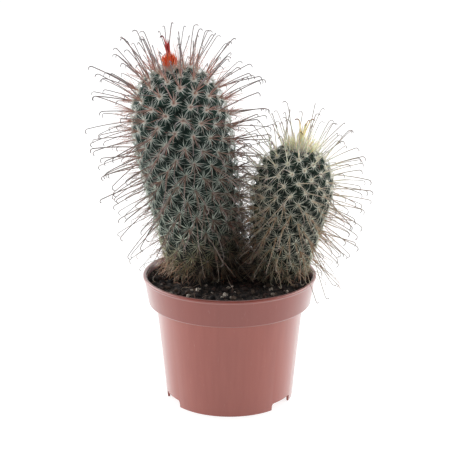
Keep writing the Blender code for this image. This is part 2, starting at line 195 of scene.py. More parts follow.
class Finish:  # one material, or the studio's light, built from expressions
    def __init__(self, name, world=None, **constants):
        self.material = world or bpy.data.materials.new(name)
        self.material.use_nodes = True
        self.tree = self.material.node_tree
        self.shader = self.tree.nodes["Background" if world else "Principled BSDF"]
        for socket, value in constants.items():
            self.shader.inputs[socket.replace("_", " ")].default_value = value

    def add(self, kind, settings=None, values=None, out=0):
        node = self.tree.nodes.new("ShaderNode" + kind)
        for key, value in (settings or {}).items():
            if key == "stops":
                self.setStops(node.color_ramp, value)
            else:
                setattr(node, key, value)
        for key, value in (values or {}).items():
            self.feed(node.inputs[key], value)
        return Wire(self, node.outputs[out])

    def setStops(self, ramp, stops):  # each has its place and a screen colour
        while len(ramp.elements) < len(stops):
            ramp.elements.new(0.5)
        for element, (place, colour) in zip(ramp.elements, stops):
            element.position = place
            element.color = paint(*colour)

    def feed(self, socket, value):
        if isinstance(value, Wire):
            self.tree.links.new(value.socket, socket)
        else:
            socket.default_value = value

    def ramp(self, value, *stops):
        return self.add("ValToRGB", {"stops": stops}, {0: value})

    def mix(self, share, first, second):
        return self.add("Mix", {"data_type": "RGBA"}, {0: share, 6: first, 7: second}, out=2)

    def place(self):  # where the point lies, in metres
        return self.add("TexCoord", out=3)

    def stretched(self, scale):
        return self.add("Mapping", values={"Vector": self.place(), "Scale": scale})

    def noise(self, scale, detail=3.0, roughness=0.5, vector=None):
        values = {"Vector": vector or self.place(), "Scale": scale, "Detail": detail, "Roughness": roughness}
        return self.add("TexNoise", {}, values)

    def speckle(self, scale):
        return self.add("TexVoronoi", {}, {"Vector": self.place(), "Scale": scale})

    def between(self, value, low, high):  # 0 below low, 1 above high
        return self.add("MapRange", {"clamp": True}, {0: value, 1: low, 2: high, 3: 0.0, 4: 1.0})

    def split(self, vector, *axes):  # parts of a vector: 0 across, 1 back, 2 up
        parts = self.add("SeparateXYZ", {}, {0: vector}).socket.node.outputs
        return [Wire(self, parts[axis]) for axis in axes]

    def growth(self):  # age, and the way from root to tip
        return self.split(self.add("UVMap", {"uv_map": growthMap}), 0, 1)

    def wear(self, colour=None, roughness=None, height=None, strength=0.3, distance=0.0005):
        if colour is not None:
            self.feed(self.shader.inputs["Base Color"], colour)
        if roughness is not None:
            self.feed(self.shader.inputs["Roughness"], roughness)
        if height is not None:
            values = {"Strength": strength, "Distance": distance, "Height": height}
            self.feed(self.shader.inputs["Normal"], self.add("Bump", {}, values))
        return self.material


# Camera, floor and light

cameraForm = {
    "distance": 900 * mm,  # in front of the pot's axis
    "height": 380.3 * mm,
    "aside": -2.8 * mm,
    "pitchDown": math.radians(16.82),
    "focalPixels": 1563.7,
    "imagePixels": 450,
    "sensor": 36.0,
}

floorForm = {"radius": 6.0, "sides": 96, "colour": paint(150, 150, 150), "glow": 0.82}

# Soft light comes from all round the back and the sides, and little from where the camera stands
studioForm = {"front": 0.05, "back": 1.0, "turnFrom": -0.25, "turnTo": 0.45, "seen": 0.97}

lights = [
    # name, place, aim height, width, height, power
    ("leftBank", (-1.1, 0.3, 0.45), 0.12, 1.6, 1.0, 17.5),
    ("rightBank", (1.1, 0.3, 0.45), 0.12, 1.6, 1.0, 17.5),
    ("overhead", (0.0, 0.3, 1.6), 0.1, 1.8, 1.8, 3.5),
    ("frontFill", (-0.5, -1.7, 0.6), 0.1, 0.8, 0.8, 3.6),
]


def makeCamera():
    form = cameraForm
    made = bpy.data.objects.new("camera", bpy.data.cameras.new("camera"))
    bpy.context.collection.objects.link(made)
    made.location = (potAxis.x + form["aside"], potAxis.y - form["distance"], form["height"])
    made.rotation_euler = (math.pi / 2 - form["pitchDown"], 0, 0)
    made.data.sensor_width = form["sensor"]
    made.data.lens = form["focalPixels"] / form["imagePixels"] * form["sensor"]
    bpy.context.scene.camera = made


def makeFloor():
    deselectAll()
    bpy.ops.mesh.primitive_circle_add(
        vertices=floorForm["sides"], radius=floorForm["radius"], fill_type="NGON", location=(0, 0, 0)
    )
    made = bpy.context.object
    made.name = "paleFloor"
    white = (1.0, 1.0, 1.0, 1.0)
    finish = Finish("palePaper", Roughness=0.9, Emission_Color=white, Emission_Strength=floorForm["glow"])
    finish.shader.inputs["Base Color"].default_value = floorForm["colour"]
    made.data.materials.append(finish.material)


def makeLight():
    scene = bpy.context.scene
    scene.view_settings.view_transform = "Standard"
    scene.world = bpy.data.worlds.new("studio")
    studio = Finish("studio", world=scene.world)
    [way] = studio.split(studio.add("TexCoord"), 1)
    form = studioForm
    share = studio.between(way, form["turnFrom"], form["turnTo"])
    light = form["front"] + share * (form["back"] - form["front"])
    seen = studio.add("LightPath")
    studio.feed(studio.shader.inputs["Strength"], light * (1 - seen) + seen * form["seen"])
    studio.shader.inputs["Color"].default_value = (1.0, 1.0, 1.0, 1.0)
    for name, place, aimHeight, width, height, power in lights:
        lamp = bpy.data.lights.new(name, "AREA")
        lamp.shape = "RECTANGLE"
        lamp.size = width
        lamp.size_y = height
        lamp.energy = power
        made = bpy.data.objects.new(name, lamp)
        bpy.context.collection.objects.link(made)
        made.location = place
        made.rotation_euler = (Vector((0, 0, aimHeight)) - made.location).to_track_quat("-Z", "Y").to_euler()


makeCamera()
makeFloor()
makeLight()
print("camera, floor and light are set")


# The pot

potForm = {
    "sides": 160,
    "collarRadius": 49.3 * mm,
    "collarBottom": 60.6 * mm,
    "bodyRadius": 44.5 * mm,
    "bodyTop": 59.8 * mm,
    "baseRadius": 38.5 * mm,
    "wall": 1.2 * mm,
    "lip": 0.8 * mm,
    "lipHeight": 2.2 * mm,
    "lipSlope": 0.8 * mm,
    "rimRound": (0.5 * mm, 0.3 * mm, 0.6 * mm),  # outside, inside, and how far down the inside
    "collarRound": 0.6 * mm,
    "footRound": 0.3 * mm,
    "floorBottom": 3.2 * mm,
    "floorTop": 4.7 * mm,
    "notches": 3,
    "notchWidth": 18.5 * mm,
    "notchHeight": 4.4 * mm,
    "notchDepth": 8 * mm,
    "notchRound": 1.4 * mm,
    "notchSteps": 5,
    "notchFirst": math.radians(-35),
    "drains": 6,
    "drainRadius": 3.5 * mm,
    "drainSides": 24,
    "drainDepth": 2.5 * mm,  # more than the floor's thickness
    "drainCircle": 25 * mm,
    "edgeBevel": 0.22 * mm,
    "edgeSteps": 3,
    "edgeAngle": math.radians(25),
    "smoothAngle": math.radians(32),
}


def potInside(height):
    form = potForm
    shoulder = form["collarBottom"] + form["wall"]
    heights = (form["floorTop"], form["bodyTop"] + form["wall"], shoulder, potHeight)
    radii = (form["baseRadius"], form["bodyRadius"], form["collarRadius"], rimRadius - form["lip"])
    return float(np.interp(height, heights, radii)) - form["wall"]


def makePlastic():
    finish = Finish(
        "terracottaPlastic", Coat_Weight=1.0, Coat_Roughness=0.2, Sheen_Weight=0.3, Sheen_Roughness=0.4
    )
    streaks = finish.noise(1.0, 4.0, 0.55, finish.stretched((300, 300, 5)))
    clouds = finish.noise(26.0, 3.0)
    scuffs = finish.noise(1.0, 5.0, 0.7, finish.stretched((900, 900, 120)))
    tints = ((0.34, (143, 58, 41)), (0.5, (148, 63, 46)), (0.68, (153, 68, 51)))
    tint = finish.ramp(streaks * 0.6 + clouds * 0.4, *tints)
    [height] = finish.split(finish.place(), 2)
    # The collar is painted darker than the body, as painted shade
    collarShade = finish.between(height, potForm["bodyTop"], potForm["collarBottom"])
    tint = finish.mix(collarShade * 0.5, tint, paint(118, 36, 22))
    dusty = finish.between(scuffs, 0.62, 0.78) * 0.2
    colour = finish.mix(dusty, tint, paint(204, 158, 148))
    return finish.wear(
        colour=colour,
        roughness=0.32 + clouds * 0.14 + scuffs * 0.08,
        height=streaks * 0.7 + scuffs * 0.3,
        strength=0.12,
        distance=0.1 * mm,
    )


def makePot():
    form = potForm
    lipBottom = potHeight - form["lipHeight"]
    outer, inner, down = form["rimRound"]
    wall = form["wall"]
    outline = [
        (form["floorBottom"], form["baseRadius"] - wall - form["footRound"]),
        (0.0, form["baseRadius"] - wall),
        (0.0, form["baseRadius"]),
        (form["bodyTop"], form["bodyRadius"]),
        (form["collarBottom"], form["collarRadius"] - form["collarRound"]),
        (form["collarBottom"] + form["collarRound"], form["collarRadius"]),
        (lipBottom, rimRadius - form["lip"]),
        (lipBottom + form["lipSlope"], rimRadius),
        (potHeight - outer, rimRadius),
        (potHeight, rimRadius - outer),
        (potHeight, potInside(potHeight) + inner),
        (potHeight - down, potInside(potHeight - down)),
        (form["collarBottom"] + wall, form["collarRadius"] - wall),
        (form["bodyTop"] + wall, form["bodyRadius"] - wall),
        (form["floorTop"], form["baseRadius"] - wall),
    ]
    pot = turnBody("pot_shell", form["sides"], outline, pole=False)
    bevel = pot.modifiers.new("softEdges", "BEVEL")
    bevel.limit_method = "ANGLE"
    bevel.angle_limit = form["edgeAngle"]
    bevel.width = form["edgeBevel"]
    bevel.segments = form["edgeSteps"]
    applyAll(pot)
    cutters = [footNotch(index) for index in range(form["notches"])]
    cutters += [drainHole(index) for index in range(form["drains"])]
    for cutter in cutters:
        cut = pot.modifiers.new(cutter.name, "BOOLEAN")
        cut.object = cutter
        cut.solver = "MANIFOLD"
    applyAll(pot)
    throwAway(*cutters)
    pot.data.transform(Matrix.Translation(potAxis))
    takeUp(pot)
    bpy.ops.object.shade_smooth_by_angle(angle=form["smoothAngle"])
    return pot


def footNotch(index):
    form = potForm
    angle = form["notchFirst"] + math.tau * index / form["notches"]
    below = 2 * mm  # so that the cut goes clear through
    deselectAll()
    bpy.ops.mesh.primitive_cube_add(size=1)
    block = bpy.context.object
    block.name = f"footNotch{index + 1}"
    block.scale = (form["notchDepth"], form["notchWidth"], form["notchHeight"] + below)
    bpy.ops.object.transform_apply(scale=True)
    bpy.ops.object.mode_set(mode="EDIT")
    bpy.ops.mesh.select_all(action="DESELECT")
    bpy.ops.object.mode_set(mode="OBJECT")
    for edge in block.data.edges:
        ends = [block.data.vertices[corner].co for corner in edge.vertices]
        edge.select = all(end.z > 0 for end in ends) and ends[0].y * ends[1].y > 0
    bpy.ops.object.mode_set(mode="EDIT")
    bpy.ops.mesh.select_mode(type="EDGE")
    bpy.ops.mesh.bevel(offset=form["notchRound"], segments=form["notchSteps"], affect="EDGES")
    bpy.ops.mesh.select_mode(type="VERT")
    bpy.ops.object.mode_set(mode="OBJECT")
    reach = Vector((form["baseRadius"], 0, (form["notchHeight"] - below) / 2))
    block.data.transform(Matrix.Rotation(angle, 4, "Z") @ Matrix.Translation(reach))
    return block


def drainHole(index):
    form = potForm
    angle = math.tau * (index + 0.5) / form["drains"]
    middle = (form["floorBottom"] + form["floorTop"]) / 2
    deselectAll()
    bpy.ops.mesh.primitive_cylinder_add(
        vertices=form["drainSides"], radius=form["drainRadius"], depth=form["drainDepth"]
    )
    plug = bpy.context.object
    plug.name = f"drainHole{index + 1}"
    reach = Vector((form["drainCircle"], 0, middle))
    plug.data.transform(Matrix.Rotation(angle, 4, "Z") @ Matrix.Translation(reach))
    return plug


finishPiece(makePot(), makePlastic(), "pot_plastic", "pot")


# The soil, with bark crumbs and perlite on it

soilForm = {
    "sides": 96,
    "rings": 22,
    "edgeGap": 0.5 * mm,
    "clod": 13 * mm,  # the same hills as the solid's
    "clodHeight": 1.1 * mm,
    "lump": 3.1 * mm,
    "lumpHeight": 1.1 * mm,
    "grit": 1.3 * mm,
    "gritHeight": 0.45 * mm,
    "seed": 21,
}

crumbForm = {
    "seed": 5,
    "count": 420,
    "radii": (0.5 * mm, 2.1 * mm),
    "shapes": (0, 1, 2),  # seeds of the lumps that are copied
    "roughness": 0.4,
    "flatness": 0.55,
    "raised": 0.25,  # how far a lump's middle stands over the soil, as a share of its radius
    "smooth": False,
}

perliteForm = {
    "seed": 8,
    "count": 16,
    "radii": (0.4 * mm, 0.9 * mm),
    "shapes": (10, 11, 12),
    "roughness": 0.46,
    "flatness": 0.7,
    "raised": 0.3,
    "smooth": True,
    "seenSize": 1.5,  # grains lie half in the soil, so they are larger than they look
    # grains seen in front, from the pot's axis in millimetres: right, back, radius
    "seen": [
        (-2.5, -34.2, 1.3), (0.7, -36.3, 0.9), (3.1, -36.3, 0.8),
        (-24.5, -32.8, 0.9), (-34.7, -27.5, 0.7), (-22.4, -22.1, 0.6),
        (-18.8, -23.0, 1.3), (-40.4, -16.6, 0.6), (-0.7, -18.5, 0.8),
        (3.1, -23.9, 0.6), (24.5, -22.1, 0.9), (25.4, -31.0, 0.9),
        (21.2, -13.0, 0.6), (32.2, -7.4, 0.6), (33.9, -25.7, 0.7),
    ],
}


def soilHeight(x, y):
    form = soilForm
    spot = Vector((x, y, soilTop))
    height = soilTop + form["clodHeight"] * noise.noise(spot / form["clod"])
    height += form["lumpHeight"] * noise.noise(spot / form["lump"] + Vector((7, 3, 1)))
    return height + form["gritHeight"] * noise.noise(spot / form["grit"])


def makeSoilFinish():
    finish = Finish("pottingSoil", Roughness=0.95)
    peat = finish.noise(420.0, 6.0, 0.7)
    chips = finish.speckle(700.0)
    tones = ((0.34, (9, 8, 9)), (0.56, (30, 26, 25)), (0.74, (66, 54, 48)), (0.9, (124, 108, 96)))
    colour = finish.ramp(peat * 0.7 + chips * 0.5, *tones)
    return finish.wear(colour=colour, height=peat + chips * 0.6, strength=0.8, distance=0.5 * mm)


def makeSoil():
    form = soilForm
    corner = potForm["bodyTop"] + potForm["wall"]
    shoulder = potForm["collarBottom"] + potForm["wall"]
    edge = potInside(soilTop) - form["edgeGap"]
    bottom = potForm["floorTop"] + form["edgeGap"]
    outline = [(bottom, potInside(potForm["floorTop"]) - form["edgeGap"])]
    outline += [(height, potInside(height) - form["edgeGap"]) for height in (corner, shoulder)]
    outline += [(soilTop, edge * (1 - ring / (form["rings"] + 0.5))) for ring in range(form["rings"] + 1)]
    soil = turnBody("soil_bed", form["sides"], outline)
    mesh = soil.data
    underTop = soilTop - 0.1 * mm
    for face in mesh.polygons:
        face.select = face.center.z > underTop
    bpy.ops.object.mode_set(mode="EDIT")
    bpy.ops.mesh.select_mode(type="FACE")
    bpy.ops.mesh.subdivide(number_cuts=1)
    bpy.ops.mesh.select_mode(type="VERT")
    bpy.ops.object.mode_set(mode="OBJECT")
    mesh.transform(Matrix.Translation(potAxis))
    for vertex in mesh.vertices:
        if vertex.co.z > underTop:
            vertex.co.z = soilHeight(vertex.co.x, vertex.co.y)
    mesh.shade_smooth()
    return soil


# A rough lump, modelled once for each seed from a ball of triangles
def makeLump(form, seed):
    deselectAll()
    bpy.ops.mesh.primitive_ico_sphere_add(subdivisions=2, radius=1)
    lump = bpy.context.object
    bpy.ops.object.mode_set(mode="EDIT")
    bpy.ops.mesh.select_all(action="SELECT")
    bpy.ops.transform.vertex_random(offset=form["roughness"], seed=seed)
    bpy.ops.transform.resize(value=(1, 0.8, form["flatness"]))
    bpy.ops.object.mode_set(mode="OBJECT")
    markGrowth(lump, -1.0, 1.0)
    return lump


def lumpPlace(x, y, radius, raised, rng):
    axis = Vector((rng.uniform(-1, 1), rng.uniform(-1, 1), rng.uniform(-1, 1)))
    turn = Quaternion(axis, rng.uniform(0, 3)).to_matrix().to_4x4()
    x += potAxis.x
    y += potAxis.y
    spot = Vector((x, y, soilHeight(x, y) + radius * raised))
    return Matrix.Translation(spot) @ turn @ Matrix.Scale(radius, 4)


def scatter(rng, reach):
    distance = reach * math.sqrt(rng.random())
    angle = rng.uniform(0, math.tau)
    return distance * math.cos(angle), distance * math.sin(angle)


def strewn(form, rng):  # places at random on the soil, each with a radius
    for index in range(form["count"]):
        radius = rng.uniform(*form["radii"])
        yield (*scatter(rng, potInside(soilTop) - radius - soilForm["edgeGap"]), radius)


def makeLumps(name, form):
    rng = random.Random(form["seed"])
    models = [makeLump(form, seed) for seed in form["shapes"]]
    places = strewn(form, rng)
    if "seen" in form:
        seen = [(x * mm, y * mm, radius * form["seenSize"] * mm) for x, y, radius in form["seen"]]
        places = seen + list(places)
    found = []
    for index, (x, y, radius) in enumerate(places):
        model = models[index % len(models)]
        found.append(copyAt(model, lumpPlace(x, y, radius, form["raised"], rng), rng.random()))
    lumps = joinAs(name, found)
    if form["smooth"]:
        lumps.data.shade_smooth()
    else:
        lumps.data.shade_flat()
    throwAway(*models)
    return lumps


def makeCrumbFinish():
    finish = Finish("barkCrumbs", Roughness=0.9)
    age = finish.growth()[0]
    grain = finish.noise(900.0, 4.0, 0.6)
    tones = ((0.1, (11, 11, 13)), (0.5, (30, 25, 24)), (0.8, (62, 42, 36)), (1.0, (92, 80, 68)))
    colour = finish.ramp(age * 0.8 + grain * 0.3, *tones)
    return finish.wear(colour=colour, height=grain, strength=0.6, distance=0.3 * mm)


def makePerliteFinish():
    finish = Finish("perlite", Roughness=0.85)
    pores = finish.speckle(1500.0)
    grime = finish.noise(500.0, 4.0, 0.6)
    dirty = finish.between(pores * 0.6 + grime * 0.6, 0.42, 0.72)
    colour = finish.mix(dirty, paint(228, 218, 204), paint(128, 116, 106))
    return finish.wear(colour=colour, height=pores, strength=0.7, distance=0.25 * mm)


finishPiece(makeSoil(), makeSoilFinish(), "soil", "soil")
finishPiece(makeLumps("soil_crumbs", crumbForm), makeCrumbFinish(), "soil")
finishPiece(makeLumps("perlite_grains", perliteForm), makePerliteFinish(), "soil")
print("pot and soil are made")


# The two stems: where their tubercles sit. The solids follow the same rule

tallForm = {
    "name": "tall",
    "foot": Vector((-14 * mm, 11 * mm)),
    "lean": math.radians(10.6),
    "leanTowards": math.radians(197),
    "straighten": 0.15,
    "length": 130 * mm,
    "widest": 82 * mm,
    "radius": 29.2 * mm,
    "footRadius": 23.4 * mm,
    "squareness": 2.8,
    "areoleArea": 87 * mm * mm,
    "turn": goldenAngle,
    "spineLength": (23 * mm, 30.5 * mm),
    "inGap": 11,  # short straight spines to an areole that faces the other stem, beyond those below
    "shortOnes": (8, 10, 8),  # short straight spines to an areole: at the crown, below it, at the foot
    "fineness": 1.0,
    "radials": 20,
    "radialRadius": 0.0168,  # as a share of the spacing
    "side": -1,
}

shortForm = {
    "name": "short",
    "foot": Vector((30.2 * mm, 3 * mm)),
    "lean": math.radians(9.4),
    "leanTowards": math.radians(-8),
    "straighten": 0.1,
    "length": 83 * mm,
    "widest": 53 * mm,
    "radius": 24.2 * mm,
    "footRadius": 16.2 * mm,
    "squareness": 2.35,
    "areoleArea": 53 * mm * mm,
    "turn": -goldenAngle,
    "spineLength": (18 * mm, 26 * mm),
    "inGap": 6,
    "shortOnes": (2, 1, 4),
    "fineness": 0.85,
    "radials": 16,
    "radialRadius": 0.0182,
    "side": 1,
}

# What both stems share
growthForm = {
    "axisStep": 0.5 * mm,
    "settling": 20 * mm,  # height over the soil at which a stem has its full lean
    "straightenFrom": 0.7,  # share of the length from which a stem straightens up
    "straightenOver": 0.3,
    "outlineSteps": 400,
    "footTaper": 1.15,
    "lowestAreole": 4 * mm,
    "firstAreole": 0.8,  # surface above the first areole, as a share of an areole's usual area
    "youngArea": 0.45,  # area of the first areole, as a share of the usual one
    "youngCount": 20,  # areoles from the crown down that are smaller than usual
    "packing": 1.07,  # spacing, as a multiple of the square root of an areole's area
    "flankSlope": -0.08,
    "crownSlope": 1.3,
}


def smoothStep(share):
    share = clamp(share)
    return share * share * (3 - 2 * share)


class Stem:
    def __init__(self, form):
        self.form = form
        self.name = form["name"]
        self.length = form["length"]
        towards = form["leanTowards"]
        self.leanAxis = Vector((-math.sin(towards), math.cos(towards), 0))
        self.traceAxis()
        self.traceOutline()
        self.areoles = self.findAreoles()
        self.top = self.axisAt(self.length).z

    def leanAt(self, along):
        settled = smoothStep(along / growthForm["settling"])
        start = growthForm["straightenFrom"] * self.length
        crown = smoothStep((along - start) / (growthForm["straightenOver"] * self.length))
        return self.form["lean"] * settled * (1 - self.form["straighten"] * crown)

    def turnAt(self, along):
        return Quaternion(self.leanAxis, self.leanAt(along))

    def traceAxis(self):
        step = growthForm["axisStep"]
        self.stations = np.arange(-footDepth, self.length + 2 * step, step)
        point = potAxis + Vector((*self.form["foot"], soilTop - footDepth))
        points = []
        for along in self.stations:
            points.append(point.copy())
            point = point + self.turnAt(float(along)) @ up * step
        self.axisPoints = np.array(points)

    def axisAt(self, along):
        return Vector([float(np.interp(along, self.stations, column)) for column in self.axisPoints.T])

    # Radius and height over the tubercles' tips, from the crown down, and the area above each height
    def traceOutline(self):
        form = self.form
        power = 2 / form["squareness"]
        steps = growthForm["outlineSteps"]
        angles = np.linspace(math.pi / 2, 0, steps)
        dome = form["length"] - form["widest"]
        crownRadii = form["radius"] * np.cos(angles).clip(0) ** power
        crownHeights = form["widest"] + dome * np.sin(angles) ** power
        heights = np.linspace(form["widest"], 0, steps)[1:]
        taper = (1 - heights / form["widest"]) ** growthForm["footTaper"]
        narrowing = (form["radius"] - form["footRadius"]) * taper
        self.radii = np.concatenate([crownRadii, form["radius"] - narrowing])
        self.heights = np.concatenate([crownHeights, heights])
        run = np.hypot(np.diff(self.radii), np.diff(self.heights))
        middle = (self.radii[1:] + self.radii[:-1]) / 2
        self.areas = np.concatenate([[0.0], np.cumsum(math.tau * middle * run)])

    # (radius, angle, height, spacing) of each areole, round a golden-angle spiral from the crown down
    def findAreoles(self):
        form = growthForm
        usual = self.form["areoleArea"]
        lowest = float(np.interp(form["lowestAreole"], self.heights[::-1], self.areas[::-1]))
        found = []
        area = form["firstAreole"] * usual
        while area < lowest:
            index = len(found)
            share = form["youngArea"] + (1 - form["youngArea"]) * index / form["youngCount"]
            own = usual * min(1.0, share)
            radius = float(np.interp(area, self.areas, self.radii))
            height = float(np.interp(area, self.areas, self.heights))
            found.append((radius, index * self.form["turn"], height, form["packing"] * math.sqrt(own)))
            area += own
        return found

    def place(self, local):  # a point of the straight form, moved onto the leaning axis
        return self.axisAt(local.z) + self.turnAt(local.z) @ Vector((local.x, local.y, 0))

    # Tip of a tubercle, the way out of it, and the way along the stem to the crown
    def areoleFrame(self, areole):
        radius, angle, height = areole[:3]
        radial = Vector((math.cos(angle), math.sin(angle), 0))
        tip = self.place(radial * radius + up * height)
        slope = growthForm["flankSlope"]
        if height > self.form["widest"]:
            slope = growthForm["crownSlope"] * (1 - (radius / self.form["radius"]) ** 2)
        turn = self.turnAt(height)
        outward = turn @ (radial * math.cos(slope) + up * math.sin(slope))
        upward = turn @ (up * math.cos(slope) - radial * math.sin(slope))
        return tip, outward, upward

    def isOutside(self, point, spare):
        offsets = self.axisPoints - np.array(point)
        distances = np.einsum("ij,ij->i", offsets, offsets)
        nearest = int(distances.argmin())
        radius = float(np.interp(self.stations[nearest], self.heights[::-1], self.radii[::-1]))
        return math.sqrt(distances[nearest]) > radius + spare

    def ageOf(self, areole):  # 0 at the crown, 1 at the soil
        return 1 - areole[2] / self.length

    # A matrix that stands a model on an areole: its Z goes out, its Y to the crown
    def stand(self, areole, size, sink=0.0, spin=0.0):
        tip, outward, upward = self.areoleFrame(areole)
        turn = Matrix((upward.cross(outward), upward, outward)).transposed().to_4x4()
        spot = Matrix.Translation(tip - outward * sink)
        return spot @ turn @ Matrix.Rotation(spin, 4, "Z") @ Matrix.Scale(size, 4)


# The fleshy body: a core, and a cone for each areole

bodyForm = {
    "coreSides": 40,
    "coreRings": 30,
    "coreFoot": 0.86,  # share of the foot's radius
    "coreTop": 30,  # step of the outline where the core ends under the crown
    "leastRadius": 2 * mm,
    "leastRise": 0.3 * mm,
    "coneSides": 10,
    "coneWidth": 0.62,  # foot of a cone, as a share of the spacing
    "coneHeight": 0.78,
    "coneTurn": 0.4,
    "coreDepth": 0.55,  # how far the core lies under the tips
    "coneOutline": [(0, 1), (0.2, 0.95), (0.42, 0.82), (0.63, 0.64), (0.81, 0.45), (0.94, 0.28), (1, 0.14)],
}


def makeCore(stem):
    form = bodyForm
    depth = form["coreDepth"] * stem.areoles[-1][3]
    rows = np.linspace(len(stem.heights) - 1, form["coreTop"], form["coreRings"]).astype(int)
    slopes = np.arctan2(-np.gradient(stem.radii), np.abs(np.gradient(stem.heights)) + 1e-9)
    footRadius = stem.form["footRadius"] * form["coreFoot"]
    outline = [(-footDepth, footRadius), (0, footRadius)]
    for row in rows:
        height = stem.heights[row] - depth * max(0.0, math.sin(-slopes[row]))
        radius = max(form["leastRadius"], stem.radii[row] - depth * abs(math.cos(slopes[row])))
        if height > outline[-1][0] + form["leastRise"]:
            outline.append((float(height), float(radius)))
    core = turnBody(f"{stem.name}_core", form["coreSides"], outline)
    for vertex in core.data.vertices:
        vertex.co = stem.place(vertex.co)
    markGrowth(core, -1.0, 0.0)
    return core


def makeBody(stem):
    form = bodyForm
    core = makeCore(stem)
    layer = core.data.uv_layers[growthMap]
    # Along is 0 all over the core, so the core takes the skin's painted valley shade
    for loop in core.data.loops:
        height = core.data.vertices[loop.vertex_index].co.z - soilTop
        layer.data[loop.index].uv = (clamp(1 - height / stem.length), 0.0)
    cone = turnBody("cone", form["coneSides"], form["coneOutline"])
    markGrowth(cone)
    found = [core]
    for index, areole in enumerate(stem.areoles):
        spacing = areole[3]
        shape = Matrix.Diagonal((form["coneWidth"], form["coneWidth"], form["coneHeight"], 1))
        stand = stem.stand(areole, spacing, form["coneHeight"] * spacing, index * form["coneTurn"])
        found.append(copyAt(cone, stand @ shape, stem.ageOf(areole)))
    throwAway(cone)
    body = joinAs(f"{stem.name}_stem_body", found)
    body.data.shade_smooth()
    return body


def makeSkin(name, young, flank, aged, valleyShade, old):
    finish = Finish(name, Roughness=0.5, Specular_IOR_Level=0.4)
    age, along = finish.growth()
    mottle = finish.noise(260.0, 4.0, 0.6)
    green = finish.mix(finish.between(age, 0.0, 0.35), young, flank)
    green = finish.mix(finish.between(age, 0.35, 0.7), green, aged)
    # The tubercles' lower parts are painted nearly black: painted shade in the valleys between tubercles
    colour = finish.mix(finish.between(along + mottle * 0.3, 0.25, 0.95), valleyShade, green)
    corky = finish.between(age + mottle * 0.12, 0.84, 0.97)
    colour = finish.mix(corky, colour, old)
    freckles = finish.noise(1900.0, 2.0)
    colour = finish.mix(finish.between(freckles, 0.55, 0.75) * 0.2, colour, paint(96, 122, 106))
    return finish.wear(
        colour=colour,
        roughness=0.42 + mottle * 0.25,
        height=freckles * 0.5 + mottle,
        strength=0.35,
        distance=0.3 * mm,
    )


tall = Stem(tallForm)
short = Stem(shortForm)
print(f"{len(tall.areoles)} and {len(short.areoles)} areoles")

# The fourth colour of each skin is painted shade for the valleys between tubercles
tallSkin = makeSkin(
    "tallSkin", paint(33, 66, 56), paint(24, 49, 43), paint(22, 46, 37), paint(5, 10, 9), paint(34, 25, 20)
)
shortSkin = makeSkin(
    "shortSkin", paint(26, 56, 43), paint(18, 40, 32), paint(15, 33, 26), paint(4, 8, 7), paint(40, 36, 26)
)
finishPiece(makeBody(tall), tallSkin, "tall_stem", "tall_stem")
finishPiece(makeBody(short), shortSkin, "short_stem", "short_stem")


# Spines are copies of a few straight stocks, each led along its own path

class Stock:
    def __init__(self, name, sides, shares, taper):
        outline = [(share, 1 - taper * share**1.4) for share in shares]
        self.model = turnBody(name, sides, outline)
        markGrowth(self.model)
        self.model.data.shade_smooth()
        points = np.array([vertex.co for vertex in self.model.data.vertices])
        self.rings = np.abs(points[:, 2:] - np.array(shares)[None, :]).argmin(axis=1)
        self.cross = points[:, :2]

    # points has one place for each ring; age goes into the growth map
    def lead(self, points, radius, age):
        course = np.array(points)
        headings = np.gradient(course, axis=0)
        headings /= np.linalg.norm(headings, axis=1)[:, None]
        side = np.cross(course[1] - course[0], course[-1] - course[1])
        if np.linalg.norm(side) < 1e-3 * np.linalg.norm(course[-1] - course[0]) ** 2:
            side = np.cross(headings[0], (0.31, 0.59, 0.74))
        side = side - headings * (headings @ side)[:, None]
        side /= np.linalg.norm(side, axis=1)[:, None]
        across = np.cross(side, headings)
        rings = self.rings
        spread = across[rings] * self.cross[:, :1] + side[rings] * self.cross[:, 1:]
        places = course[rings] + spread * radius
        made = self.model.copy()
        made.data = self.model.data.copy()
        made.data.vertices.foreach_set("co", places.ravel())
        setAge(made.data, age)
        bpy.context.collection.objects.link(made)
        return made


